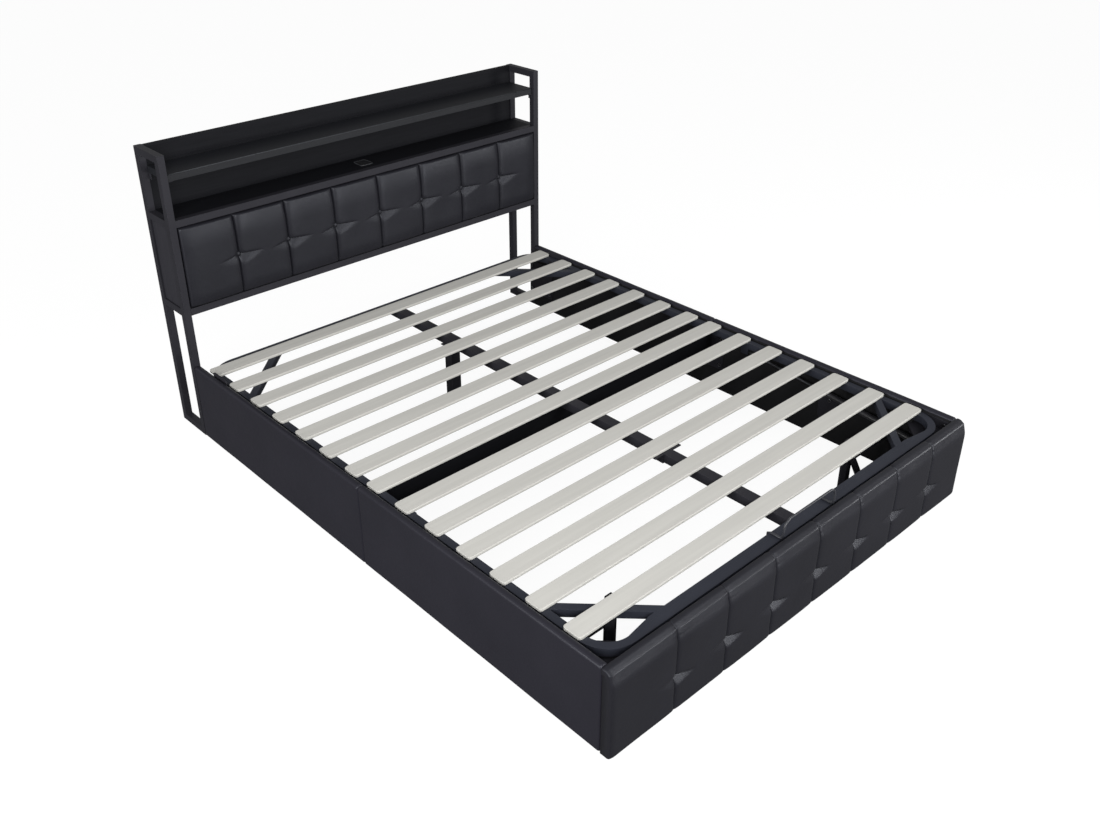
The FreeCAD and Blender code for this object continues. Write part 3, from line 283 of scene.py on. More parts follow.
# %% [markdown]
# ## Buttons
#
# Each button is a covered dome. One dome is a profile turned about an axis: its height falls
# as a quarter circle from the middle to the rim. The seven are copies of the same table of
# points, moved along the pad, and all of them are one mesh, because they are one kind of piece.

# %% Covered buttons
BUTTON_RADIUS = 0.0105
BUTTON_HEIGHT = 0.0070
BUTTON_SEAT = 0.0125
BUTTON_ROOT = 0.0060
ROOT_SHARE = 0.8
BUTTON_RINGS, BUTTON_AROUND = 9, 24


def turned(profile_radius, profile_depth, around):
    """A profile of radii and depths turned about the Y axis: X is the radius times a cosine,
    and Z the radius times a sine."""
    angle = np.linspace(0, 2 * np.pi, around, endpoint=False)[None, :]
    radius, depth = profile_radius[:, None], profile_depth[:, None]
    return np.stack([radius * np.cos(angle), depth + 0 * angle, radius * np.sin(angle)], axis=-1)


slope = np.linspace(0, np.pi / 2, BUTTON_RINGS)
dome = turned(np.append(BUTTON_RADIUS * np.sin(slope), [BUTTON_RADIUS * ROOT_SHARE, 0]),
              np.append(-BUTTON_HEIGHT * np.cos(slope), [BUTTON_ROOT] * 2), BUTTON_AROUND)
dome_faces = grid_faces(*dome.shape[:2], wrap_columns=True)
seams = PAD_COLUMN * SEAMS
spots = np.stack([seams, PAD_BACK - BUTTON_SEAT + 0 * seams, PAD_TUFT + 0 * seams], axis=-1)
points, faces = join_tables([(spot + dome.reshape(-1, 3), dome_faces) for spot in spots])
pad_buttons = make_piece("pad_buttons", points, faces, "box")
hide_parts("headboard_buttons")

# %% [markdown]
# ## Covers that wrap a board
#
# The footboard and the side rails are boards with foam and leather wrapped over the outside and
# the top. Their section is a path with rounded corners. Each point of that path has a partner,
# the nearest point of the board. Towards the ends of the board the path draws in a few
# millimetres, which softens the arris, and one more ring on the board closes the flat end.

# %% A path with rounded corners
ARC_POINTS = 12
SAME_PLACE = 1e-9


def rounded_path(corners, radii, spacing):
    """Straight runs between corners, and at each inner corner an arc of the given radius. The
    arc swings between two arms from its centre: each arm times the sine of its share of the
    turn. Stops closer than an eighth of the spacing are left out."""
    corners = np.array(corners, float)
    runs = [corners[:1]]
    for before, corner, after, radius in zip(corners, corners[1:], corners[2:], radii):
        come = (before - corner) / np.linalg.norm(before - corner)
        leave = (after - corner) / np.linalg.norm(after - corner)
        half_turn = np.arccos(np.clip(come @ leave, -1, 1)) / 2
        trim = radius / np.tan(half_turn)
        between = (come + leave) / np.linalg.norm(come + leave)
        middle = corner + between * radius / np.sin(half_turn)
        start, end = corner + come * trim - middle, corner + leave * trim - middle
        turn, share = np.pi - 2 * half_turn, np.linspace(0, 1, ARC_POINTS)[:, None]
        arc = start * np.sin((1 - share) * turn) + end * np.sin(share * turn)
        runs.append(middle + arc / np.sin(turn))
    runs.append(corners[-1:])
    line = np.concatenate(runs)
    length = np.append(0, np.cumsum(np.linalg.norm(np.diff(line, axis=0), axis=1)))
    keep = np.append(True, np.diff(length) > SAME_PLACE)
    line, length = line[keep], length[keep]
    extra = np.arange(0, length[-1], spacing)
    stops = np.unique(np.concatenate([length, extra]).round(7))
    stops = stops[np.append(True, np.diff(stops) > spacing / 8)]
    stops[-1] = length[-1]
    points = np.stack([np.interp(stops, length, column) for column in line.T], axis=-1)
    return points, stops


_, corner_run = rounded_path([(0, 0), (1, 0), (1, 1)], [0.1], 0.05)
print("two legs of 1 with a corner of radius 0.1 are", round(corner_run[-1], 3), "long")


# %% A cover carried along its board
BEFORE_BACK = 0.004


def corner_pull(distance, radius):
    """How far a rounded end draws in: the radius less the root of radius² - (radius - d)²."""
    gap = radius - np.clip(distance, 0, radius)
    return radius - np.sqrt(radius ** 2 - gap ** 2)


def wrapped_cover(name, stations, path, board_low, board_high, end_reach, end_radius, pull, axis,
                  past=False):
    """Carry a section path along stations. A point is its partner on the board plus what is
    left of the way out to the path after the pull and the rounding of the ends. At stations
    past the board's own end the partners lie just in front of the board's back."""
    partner = np.clip(path, board_low, board_high)
    outward = path - partner
    reach = np.maximum(np.linalg.norm(outward, axis=1), SAME_PLACE)
    ends = np.minimum(stations - stations[0], stations[-1] - stations)
    drawn = pull + corner_pull(ends * end_radius / end_reach, end_radius)[:, None]
    share = np.clip(1 - drawn / reach[None, :], 0, 1)
    outer = partner[None] + share[..., None] * outward[None]
    behind = np.column_stack([np.full(len(partner), board_high[0] - BEFORE_BACK), partner[:, 1]])
    past = np.broadcast_to(past, len(stations))[:, None, None]
    inner = np.where(past, behind[None], partner[None])
    outer = np.concatenate([inner[:1], outer, inner[-1:]])
    inner = np.concatenate([inner[:1], inner, inner[-1:]])
    ring = np.concatenate([outer, inner[:, ::-1]], axis=1)
    place = np.concatenate([stations[:1], stations, stations[-1:]])[:, None] + 0 * ring[..., 0]
    columns = [place, ring[..., 0], ring[..., 1]]
    if axis == "y":
        columns[:2] = columns[1], columns[0]
    faces = grid_faces(*ring.shape[:2], wrap_columns=True)
    return make_piece(name, np.stack(columns, axis=-1), faces, "box")


# %% [markdown]
# ## The footboard pad
#
# It has eight columns too, but the tufts have no buttons, and the leather runs over the top in a
# broad roll. In section that roll is no circle: it is two flat facets with soft bends between
# them, as the light on it shows. The front, the top, the back and the ends all stand a hair
# outside the plain CAD shapes.

# %% Section of the footboard pad
low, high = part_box("footboard_pad")
board_low, board_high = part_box("footboard_board")
SWELL_SIDE, SWELL_FRONT, SWELL_TOP, SWELL_BACK = 0.0005, 0.0012, 0.0008, 0.0004
FOOT_HALF = high.x + SWELL_SIDE
FOOT_FRONT, FOOT_TOP = low.y - SWELL_FRONT, high.z + SWELL_TOP
FOOT_BACK = board_high.y + SWELL_BACK
LOWER_EDGE = 0.0012
BENDS_BACK_AND_DOWN = (0.0, 0.046), (0.011, 0.010), (0.027, 0.0)
FOOT_RADII = 0.009, 0.080, 0.010, 0.022, 0.0055
FOOT_SPACING = 0.003
bends = [(FOOT_FRONT + back, FOOT_TOP - down) for back, down in BENDS_BACK_AND_DOWN]
foot_path, foot_run = rounded_path(
    [(board_low.y, LOWER_EDGE), (FOOT_FRONT, LOWER_EDGE), *bends,
     (FOOT_BACK, FOOT_TOP), (FOOT_BACK, board_high.z)], FOOT_RADII, FOOT_SPACING)
print("footboard section:", len(foot_path), "points over", round(foot_run[-1], 4))

# %% [markdown]
# The seams follow the path over the roll, and fade where the cover reaches the back of the
# board and under its lower edge. In the photograph they stand 203 mm apart, and the middle one
# lies 18 mm to the right of the bed's middle, so they do so here. The cover goes on past both
# ends of the board, so the stations there are doubled: one belongs to the board, and the other
# to the part beyond it.

# %% Stations along the footboard
FOOT_COLUMN, FOOT_MIDDLE = 0.203, 0.018
FOOT_ACROSS_COLUMN, END_STATIONS = 34, 12
FOOT_END_REACH, FOOT_END_RADIUS = 0.020, 0.0052
end_turn = np.linspace(0, np.pi / 2, END_STATIONS)[1:]
near_end = FOOT_HALF - FOOT_END_REACH * (1 - np.cos(end_turn))
sewn = column_stations(FOOT_HALF, FOOT_COLUMN, FOOT_MIDDLE, FOOT_ACROSS_COLUMN)
foot_x = np.unique(np.concatenate([sewn, near_end, -near_end]))
covered = foot_x[np.abs(foot_x) < board_high.x]
beyond = foot_x[foot_x > board_high.x]
foot_x = np.concatenate([-beyond[::-1], [board_low.x] * 2, covered, [board_high.x] * 2, beyond])
past_board = np.repeat([True, False, True], [len(beyond) + 1, len(covered) + 2, len(beyond) + 1])
print("footboard stations:", len(foot_x), "of which past the board:", past_board.sum())

# %% Footboard pad
FOOT_TUFT = 0.121
FOOT_GROOVE = {"depth": 0.0055, "power": 18.0}
FOOT_HOLLOW = {"depth": 0.0025, "power": 3.0}
FOOT_PLEAT = {"depths": (0.0130, 0.0210), "reaches": (0.070, 0.078), "droops": (0.05, 0.20),
              "facet": 0.040, "fades": (1.3, 1.1)}
FOOT_PINCH, FOOT_RIPPLE, COVER_EASE = 0.002, 0.0008, 0.0004
SHARE_UNDER, FULL_AFTER = 0.3, 0.060
TAIL_LENGTH = 0.03
ROLL_SHARE, ROLL_HEIGHT = 0.7, 0.030
FRONT_BAND = 0.012
foot_z, foot_across = np.broadcast_arrays(foot_path[:, 1][None, :], foot_x[:, None])
offset, near = seam_distance(foot_across, FOOT_COLUMN, FOOT_MIDDLE)
under = SHARE_UNDER + (1 - SHARE_UNDER) * np.clip(foot_run / FULL_AFTER, 0, 1)[None, :]
tail = np.clip((foot_run[-1] - foot_run) / TAIL_LENGTH, 0, 1)[None, :]
seam = seam_pull(near, **FOOT_GROOVE) + seam_pull(near, **FOOT_HOLLOW)
seam = seam * tail * under * np.where(foot_z > FOOT_TOP - ROLL_HEIGHT, ROLL_SHARE, 1.0)
in_front = (foot_path[:, 0] < FOOT_FRONT + FRONT_BAND)[None, :]
pleat = in_front * pleat_pull(offset, foot_z, FOOT_TUFT, **FOOT_PLEAT)
foot_pull = np.hypot(seam, pleat) + in_front * pinch_pull(offset, foot_z, FOOT_TUFT, FOOT_PINCH)
waves = ripple(foot_across, foot_run[None, :], FOOT_RIPPLE)
foot_pull = np.minimum(foot_pull, DEEPEST_PULL) + waves + COVER_EASE
footboard_cushion = wrapped_cover(
    "footboard_cushion", foot_x, foot_path, (board_low.y, board_low.z),
    (board_high.y, board_high.z), FOOT_END_REACH, FOOT_END_RADIUS, foot_pull, "x", past_board)
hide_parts("footboard_pad")

# %% [markdown]
# ## The side rails
#
# Each side has two lengths that meet at a joint half-way. The padding is thin and tight, so the
# faces stay almost flat. What shows is the full roll along the top, the soft ends that meet at
# the joint, and a very slight unevenness in the shine. A left length is worked out as if it
# were on the right, then mirrored and its faces turned, so that they still point outwards.

# %% Side rail covers
RAIL_LOWER_BEND, RAIL_ROLL = 0.004, 0.0115
RAIL_SPACING = 0.004
SWELL_OUT, SWELL_IN, SWELL_UP = 0.0004, 0.0002, 0.0005
END_GAP = 0.0003
END_SHARE, RAIL_END_STATIONS, RAIL_STATIONS = 0.01, 24, 110
RAIL_END_REACH, RAIL_END_RADIUS = 0.007, 0.0058
RAIL_RIPPLE, WAVES_ALONG, WAVES_ROUND = 0.0006, 0.8, 2.0
MIRROR = ((-1, 0, 0, 0), (0, 1, 0, 0), (0, 0, 1, 0), (0, 0, 0, 1))


def rail_cover(side, end):
    """One length of rail cover, on the right (+1) or the left (-1): a path out from the board
    near the floor, up the outside, over the top and down to the board's top, carried along Y."""
    node = "rail_cover_%s_%s" % (end, "right" if side > 0 else "left")
    cover_low, cover_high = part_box(node)
    core_low, core_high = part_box(node.replace("cover", "board"))
    outside = max(abs(cover_low.x), abs(cover_high.x)) + SWELL_OUT
    inside = min(abs(cover_low.x), abs(cover_high.x)) - SWELL_IN
    top = cover_high.z + SWELL_UP
    core = sorted((abs(core_low.x), abs(core_high.x)))
    path, run = rounded_path(
        [(core[1], LOWER_EDGE), (outside, LOWER_EDGE), (outside, top), (inside, top),
         (inside, core_high.z)], [RAIL_LOWER_BEND, RAIL_ROLL, RAIL_ROLL], RAIL_SPACING)
    length = cover_high.y - cover_low.y - 2 * END_GAP
    tight = END_SHARE * crowd_ends(RAIL_END_STATIONS)[:-1]
    even = np.linspace(END_SHARE, 1 - END_SHARE, RAIL_STATIONS)
    stations = cover_low.y + END_GAP + length * np.concatenate([tight, even, 1 - tight[::-1]])
    waves = ripple(stations[:, None] * WAVES_ALONG + side, run[None, :] * WAVES_ROUND, RAIL_RIPPLE)
    piece = wrapped_cover(node.replace("cover", "cushion"), stations, path, (core[0], 0.0),
                          (core[1], core_high.z), RAIL_END_REACH, RAIL_END_RADIUS,
                          waves + COVER_EASE, "y")
    if side < 0:
        piece.data.transform(MIRROR)
        piece.data.flip_normals()
    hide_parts(node)
    return piece


rail_cushions = [rail_cover(side, end) for side in (1, -1) for end in ("head", "foot")]

# %% [markdown]
# ## Slats
#
# A slat is a thin board with round corners in plan and slightly eased edges. Its shape is a
# stack of rounded rectangles: they grow from the bottom's middle line to the full outline and
# shrink again over the top. The eased edge is a quarter circle, by which each ring is set in.
# The first and last ring shrink to a line, which closes the two faces without a hole.

# %% Slats with eased edges
SLAT_COUNT = 14
SLAT_CORNER, SLAT_EDGE = 0.0105, 0.0018
CORNER_POINTS, EDGE_RINGS = 8, 6
FLAT_RING = 0.001


def rounded_loop(half_a, half_b, corner):
    """A closed rectangle with round corners: four quarter circles in turn."""
    angle = np.linspace(0, np.pi / 2, CORNER_POINTS)
    loops = []
    for quarter, (a, b) in enumerate(((1, 1), (-1, 1), (-1, -1), (1, -1))):
        turn = angle + quarter * np.pi / 2
        loops.append(np.stack([a * (half_a - corner) + corner * np.cos(turn),
                               b * (half_b - corner) + corner * np.sin(turn)], axis=-1))
    return np.concatenate(loops)


def eased_board(half_x, half_y, low_z, high_z, corner, edge):
    """Rings about the board's middle, from the bottom's middle line to the top's. Each is set
    in by the edge times one minus a sine, at a height of the edge times one minus a cosine."""
    turn = np.linspace(0, np.pi / 2, EDGE_RINGS)
    rise = edge * (1 - np.cos(turn))
    fall = edge * (1 - np.sin(turn))
    inset = np.concatenate([[edge + FLAT_RING], fall, rise, [edge + FLAT_RING]])
    height = np.concatenate([[low_z], low_z + rise, high_z - fall, [high_z]])
    rings = np.array([rounded_loop(half_x - i, half_y - i, corner - i) for i in inset])
    spine = rings[:1] * (1, 0)
    spine[..., 0] = np.clip(spine[..., 0], half_y - half_x, half_x - half_y)
    rings = np.concatenate([spine, rings, spine])
    height = np.concatenate([height[:1], height, height[-1:]])
    return np.concatenate([rings, height[:, None, None] + 0 * rings[..., :1]], axis=-1)


slats = []
for number in range(1, SLAT_COUNT + 1):
    node = "slat_%02d" % number
    low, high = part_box(node)
    middle = (low + high) / 2
    half = (high - low) / 2
    rings = eased_board(half.x, half.y, low.z, high.z, SLAT_CORNER, SLAT_EDGE)
    slat = make_piece("wood_" + node, rings + (middle.x, middle.y, 0),
                      grid_faces(*rings.shape[:2], wrap_columns=True), "platform")
    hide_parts(node)
    slats.append(slat)

# %% [markdown]
# ## Mattress stop
#
# One round steel rod with square bends keeps the mattress from sliding off at the foot. Each of
# its two ends hooks over the foot tube from the inside, then the rod rises outside the tube and
# runs across. Blender could bevel a curve, but a ring of points carried along a path, set square
# to it, gives the same tube as plain points. The same helper then makes every thin round edge.

# %% Wires along a path
NOWHERE_ALONG = (0.6, 0.5, 0.7)


def wire(path, radius, closed=False, around=10):
    """Rings about a path: each point plus the radius times a cosine one way and a sine the
    other. Both ways are square to the path, and come from a fixed slanted line that no run
    here is parallel to. Open ends shrink to a point."""
    path = np.array(path, float)
    if closed:
        ahead = np.roll(path, -1, axis=0) - np.roll(path, 1, axis=0)
        radii = np.full(len(path), radius)
    else:
        ahead = np.gradient(path, axis=0)
        path, ahead = [np.concatenate([row[:1], row, row[-1:]]) for row in (path, ahead)]
        radii = np.concatenate([[0], np.full(len(path) - 2, radius), [0]])
    ahead /= np.linalg.norm(ahead, axis=1)[:, None]
    sideways = np.cross(ahead, NOWHERE_ALONG)
    sideways /= np.linalg.norm(sideways, axis=1)[:, None]
    other = np.cross(ahead, sideways)
    angle = np.linspace(0, 2 * np.pi, around, endpoint=False)[None, :, None]
    circle = np.cos(angle) * sideways[:, None] + np.sin(angle) * other[:, None]
    rings = path[:, None] + radii[:, None, None] * circle
    faces = grid_faces(len(path), around, wrap_rows=closed, wrap_columns=True)
    return rings.reshape(-1, 3), faces


# %% Mattress stop
STOP_ROD = 0.0035
HOOK_BEND, TOP_BEND = 0.0055, 0.028
STOP_SPACING = 0.03
low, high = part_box("mattress_stop")
_, tube_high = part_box("platform_foot_frame")
ends = low.x + STOP_ROD, high.x - STOP_ROD
inner_y, outer_y = high.y - STOP_ROD, low.y + STOP_ROD
over_z, top_z = tube_high.z + STOP_ROD, high.z - STOP_ROD
rise = [(inner_y, low.z), (inner_y, over_z), (outer_y, over_z), (outer_y, top_z)]
corners = [(ends[0], y, z) for y, z in rise] + [(ends[1], y, z) for y, z in rise[::-1]]
stop_bends = [HOOK_BEND, HOOK_BEND, TOP_BEND, TOP_BEND, HOOK_BEND, HOOK_BEND]
rod_path, _ = rounded_path(corners, stop_bends, STOP_SPACING)
points, faces = wire(rod_path, STOP_ROD, around=20)
stop_rod = make_piece("stop_rod", points, faces, "platform")
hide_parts("mattress_stop")

# %% [markdown]
# ## Bright edges
#
# A few thin things catch the light: the front arris of the upper shelf, where its edge band
# meets the top, the raised rim of the charging module, and the rims of the bolt heads. They are
# too thin for the CAD solids, and paint alone would not catch a light from the side, so each is
# a fine wire that is partly sunk in the face that carries it. Each wire is also much lighter
# than the face beside it, and that lighter colour is a painted highlight along the edge.

# %% Front arris of the upper shelf
ARRIS_RADIUS = 0.0018
ARRIS_BACK, ARRIS_DOWN = 0.0002, 0.0008
low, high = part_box("upper_shelf")
arris_y, arris_z = low.y + ARRIS_BACK, high.z - ARRIS_DOWN
points, faces = wire([(low.x, arris_y, arris_z), (high.x, arris_y, arris_z)], ARRIS_RADIUS,
                     around=14)
shelf_arris = make_piece("shelf_arris", points, faces, "box")

# %% Rim of the charging module
RIM_CORNER, RIM_RADIUS, RIM_DOWN = 0.008, 0.0009, 0.0003
low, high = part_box("charging_module")
loop = rounded_loop((high.x - low.x) / 2, (high.y - low.y) / 2, RIM_CORNER)
rim_path = np.column_stack([loop[:, 0], loop[:, 1] + (low.y + high.y) / 2,
                            np.full(len(loop), high.z - RIM_DOWN)])
points, faces = wire(rim_path, RIM_RADIUS, closed=True)
module_rim = make_piece("module_rim", points, faces, "box")

# %% Rims of the bolts
HEAD_X, HEAD_RIM, HEAD_WIRE = 0.799, 0.0060, 0.0006
AROUND_HEAD = 20
BOLT_PLACES = [(0.8415, 0.080), (0.8415, 0.190), (0.9565, 0.080), (0.9565, 0.190),
               (-0.1225, 0.110), (-0.1225, 0.220), (-0.0075, 0.110), (-0.0075, 0.220),
               (-0.957, 0.250), (-1.049, 0.250), (-0.957, 0.058), (-1.049, 0.058),
               (-0.619, 0.162)]
turn = np.linspace(0, 2 * np.pi, AROUND_HEAD, endpoint=False)
rims = []
for side in (1, -1):
    for y, z in BOLT_PLACES:
        ring = np.column_stack([np.full(AROUND_HEAD, side * HEAD_X), y + HEAD_RIM * np.cos(turn),
                                z + HEAD_RIM * np.sin(turn)])
        rims.append(wire(ring, HEAD_WIRE, closed=True, around=6))
points, faces = join_tables(rims)
bolt_rims = make_piece("bolt_rims", points, faces, "box")

# %% [markdown]
# ## Finishes
#
# Nothing on this bed is a single flat colour. Leather has a fine grain and an uneven shine,
# powder coat has a skin like orange peel, and the slats have a pale grain along their length.
# Every pattern is computed from Object coordinates, in metres, so it stays on the piece when
# the piece moves. A fixed number, such as a roughness, is set straight on the shader.


# %% A bare finish
def new_finish(name, roughness, specular, metallic=0.0, tint=(1, 1, 1)):
    """A material with one shader, and the tree that its patterns go in."""
    finish = bpy.data.materials.new(name)
    finish.use_nodes = True
    shader = finish.node_tree.nodes["Principled BSDF"]
    shader.inputs["Roughness"].default_value = roughness
    shader.inputs["Specular IOR Level"].default_value = specular
    shader.inputs["Specular Tint"].default_value = (*tint, 1)
    shader.inputs["Metallic"].default_value = metallic
    print("finish", name, "with roughness", roughness, "and specular level", specular)
    return finish, finish.node_tree, shader


# %% [markdown]
# A pattern is a noise, or small cells. A stretch along one axis turns a noise into grain. Most
# of a noise lies between 0.3 and 0.7, so that part is what gets spread over a wanted range.

# %% Patterns
NOISE_LOW, NOISE_HIGH = 0.3, 0.7


def pattern(tree, kind, scale, stretch=(1, 1, 1), detail=3.0):
    """A noise or cell pattern on Object coordinates. Stretch scales the axes one by one."""
    where = tree.nodes.new("ShaderNodeTexCoord")
    mapping = tree.nodes.new("ShaderNodeMapping")
    mapping.inputs["Scale"].default_value = stretch
    texture = tree.nodes.new("ShaderNodeTexNoise" if kind == "noise" else "ShaderNodeTexVoronoi")
    texture.inputs["Scale"].default_value = scale
    if kind == "noise":
        texture.inputs["Detail"].default_value = detail
    tree.links.new(where.outputs["Object"], mapping.inputs["Vector"])
    tree.links.new(mapping.outputs["Vector"], texture.inputs["Vector"])
    return texture.outputs["Fac" if kind == "noise" else "Distance"]


def spread(tree, source, low, high):
    """Stretch a pattern's middle values over a new range."""
    node = tree.nodes.new("ShaderNodeMapRange")
    node.inputs["From Min"].default_value = NOISE_LOW
    node.inputs["From Max"].default_value = NOISE_HIGH
    node.inputs["To Min"].default_value = low
    node.inputs["To Max"].default_value = high
    tree.links.new(source, node.inputs["Value"])
    return node.outputs["Result"]


# %% [markdown]
# A pattern does two jobs. It mixes two tones of a colour, and it stands in relief as a bump,
# which turns the light without moving the surface. Sharp edges of the CAD pieces are softened
# at the same place, by a radius that only the shading sees.

# %% Tones and relief
EDGE_SAMPLES = 4


def two_tone(tree, shader, source, dark, light):
    """Base colour between two tones, by a pattern."""
    mix = tree.nodes.new("ShaderNodeMix")
    mix.data_type = "RGBA"
    colours = [socket for socket in mix.inputs if socket.type == "RGBA"]
    colours[0].default_value = (*dark, 1)
    colours[1].default_value = (*light, 1)
    tree.links.new(spread(tree, source, 0, 1), mix.inputs["Factor"])
    result = [socket for socket in mix.outputs if socket.type == "RGBA"][0]
    tree.links.new(result, shader.inputs["Base Color"])


def relief(tree, shader, sources, edge=0.0):
    """Bump from several (pattern, height in metres) pairs, over edges softened by a radius."""
    normal = None
    if edge:
        soft = tree.nodes.new("ShaderNodeBevel")
        soft.samples = EDGE_SAMPLES
        soft.inputs["Radius"].default_value = edge
        normal = soft.outputs["Normal"]
    for source, height in sources:
        bump = tree.nodes.new("ShaderNodeBump")
        bump.inputs["Strength"].default_value = 1.0
        bump.inputs["Distance"].default_value = height
        tree.links.new(source, bump.inputs["Height"])
        if normal is not None:
            tree.links.new(normal, bump.inputs["Normal"])
        normal = bump.outputs["Normal"]
    tree.links.new(normal, shader.inputs["Normal"])


# %% [markdown]
# ### Leather
#
# Faux leather is near black with a cool tinge. Its grain is small cells with soft valleys, so a
# cell pattern gives the relief, and a slow noise changes the shine from place to place. The
# side rails are covered in the same leather, but they get lighter tones of their own: that is
# painted light, for the light that falls on the tight covers.

# %% Leather
LEATHER_TINT = (0.89, 0.92, 1.0)
TONE_SCALE, SHINE_SCALE, CELL_SCALE, CREASE_SCALE = 5.0, 11.0, 520.0, 60.0
SHINE_LOW, SHINE_HIGH = 0.37, 0.45
CELL_HEIGHT, CREASE_HEIGHT = 0.00012, 0.00035


def leather_finish(name, dark, light):
    """Two tones by a slow noise, a shine by a quicker one, and cells and creases in relief."""
    finish, tree, shader = new_finish(name, roughness=0.4, specular=0.30, tint=LEATHER_TINT)
    two_tone(tree, shader, pattern(tree, "noise", TONE_SCALE), dark, light)
    shine = spread(tree, pattern(tree, "noise", SHINE_SCALE), SHINE_LOW, SHINE_HIGH)
    tree.links.new(shine, shader.inputs["Roughness"])
    relief(tree, shader, [(pattern(tree, "cells", CELL_SCALE), CELL_HEIGHT),
                          (pattern(tree, "noise", CREASE_SCALE), CREASE_HEIGHT)])
    return finish


leather = leather_finish("leather_charcoal", (0.0099, 0.0098, 0.0130), (0.0121, 0.0120, 0.0158))
# The same leather in lighter tones: painted light on the rail covers.
rail_leather_painted_light = leather_finish("leather_rails_painted_light", (0.0130, 0.0124, 0.0176), (0.0156, 0.0149, 0.0208))

# %% [markdown]
# ### Powder-coated steel and other coats
#
# Powder is baked on the tubes and angles. It leaves a matt skin with a fine orange peel, and it
# rounds every edge a little. So a slow noise gives the two tones, a fine one gives the skin, and
# a softened edge catches the light as the real coat does. The platform's tubes look a shade
# more blue in the photograph than the ladders. The plastic of the charging module and the paint
# of the strut cylinders are coats of the same kind, with more shine.

# %% Coats: two tones and a skin
def coated_finish(name, roughness, specular, dark, light, tones, skin, height, edge=0.0,
                  tint=(1, 1, 1)):
    """A slow noise, the tones, picks the colour, and a fine one, the skin, gives the relief."""
    finish, tree, shader = new_finish(name, roughness, specular, tint=tint)
    two_tone(tree, shader, pattern(tree, "noise", tones), dark, light)
    relief(tree, shader, [(pattern(tree, "noise", skin), height)], edge)
    return finish


POWDER_COAT = {"tones": 9.0, "skin": 700.0, "height": 0.00006, "edge": 0.0018}
steel = coated_finish(
    "powder_coat_black", roughness=0.5, specular=0.2, tint=(0.92, 0.92, 1.0),
    dark=(0.0180, 0.0176, 0.0217), light=(0.0213, 0.0209, 0.0256), **POWDER_COAT)
blue_steel = coated_finish(
    "powder_coat_blue_black", roughness=0.5, specular=0.25, tint=(0.84, 0.90, 1.0),
    dark=(0.0205, 0.0222, 0.0305), light=(0.0245, 0.0265, 0.0360), **POWDER_COAT)
plastic = coated_finish(
    "module_black", roughness=0.35, specular=0.45, dark=(0.013, 0.013, 0.015),
    light=(0.018, 0.018, 0.020), tones=50.0, skin=1200.0, height=0.00003)
cylinder_paint = coated_finish(
    "cylinder_satin", roughness=0.35, specular=0.5, dark=(0.022, 0.022, 0.026),
    light=(0.028, 0.028, 0.032), tones=30.0, skin=900.0, height=0.00003)

# %% [markdown]
# ### Boards and slats
#
# The cabinet is black laminate with a faint printed grain, which runs along X on the shelves and
# the back, and upright on the two sides. The two sides get a lighter copy of it, which is painted
# light for the light that falls on them, and the upper shelf a lighter, bluer copy, which is a
# painted sheen on its top. The slats are pale wood with their grain along X, and the hidden
# boards have a woven lining. In all of these one stretched noise is enough: it gives the tones
# and the relief together, as real grain does.

# %% Grain: one noise for tones and relief
def grained_finish(name, roughness, specular, dark, light, scale, stretch=(1, 1, 1), detail=3.0,
                   height=0.0, edge=0.0, metallic=0.0):
    """One noise picks the colour and, where a height is given, is the relief as well."""
    finish, tree, shader = new_finish(name, roughness, specular, metallic)
    grain = pattern(tree, "noise", scale, stretch, detail)
    two_tone(tree, shader, grain, dark, light)
    if height:
        relief(tree, shader, [(grain, height)], edge)
    return finish


ALONG_X, UPRIGHT = (0.25, 6, 6), (6, 6, 0.25)
BOARD_GRAIN = {"scale": 30.0, "detail": 5, "edge": 0.0012}
laminate = grained_finish(
    "laminate_black", roughness=0.6, specular=0.10, dark=(0.0060, 0.0062, 0.0080),
    light=(0.0085, 0.0088, 0.0110), stretch=ALONG_X, height=0.00008, **BOARD_GRAIN)
# A lighter copy of the laminate for the cabinet sides: painted light for the light they catch.
side_laminate_painted_light = grained_finish(
    "laminate_side_painted_light", roughness=0.6, specular=0.12, dark=(0.0222, 0.0218, 0.0268),
    light=(0.0283, 0.0278, 0.0333), stretch=UPRIGHT, height=0.00006, **BOARD_GRAIN)
# A lighter, bluer copy of the laminate for the upper shelf: a painted sheen along its top.
shelf_laminate_painted_sheen = grained_finish(
    "laminate_shelf_painted_sheen", roughness=0.5, specular=0.25, dark=(0.0088, 0.0095, 0.0120),
    light=(0.0113, 0.0122, 0.0152), stretch=ALONG_X, height=0.00006, **BOARD_GRAIN)
lining = grained_finish(
    "board_lining", roughness=0.85, specular=0.2, dark=(0.009, 0.009, 0.010),
    light=(0.014, 0.014, 0.015), scale=400.0, stretch=(1, 1, 3), height=0.0001)
slat_wood = grained_finish(
    "slat_pale", roughness=0.7, specular=0.15, dark=(0.500, 0.492, 0.462),
    light=(0.545, 0.537, 0.505), scale=9.0, stretch=(0.35, 7, 7), detail=6, height=0.00006)

# %% [markdown]
# ### Small parts
#
# Rests, bolts, rims, the stop and the strut rods are small in the picture. Their colour still
# varies a little by a noise, so that none of them looks like plain paint in a computer, but a
# relief would be lost on them. Only the ground rods keep theirs, drawn out along their length.
# The rims of the module and of the bolts, and the shelf's arris, are much lighter than what
# they sit on: that lighter colour is a painted highlight.

# %% Rubber, rims, bolts and rods
rubber = grained_finish(
    "rubber_black", roughness=0.9, specular=0.25, dark=(0.012, 0.012, 0.012),
    light=(0.018, 0.018, 0.018), scale=80.0)
# Much lighter than the module's black: a painted highlight along its rim.
rim_highlight_paint = grained_finish(
    "module_rim_painted_highlight", roughness=0.35, specular=0.5, dark=(0.060, 0.063, 0.070),
    light=(0.072, 0.075, 0.082), scale=50.0)
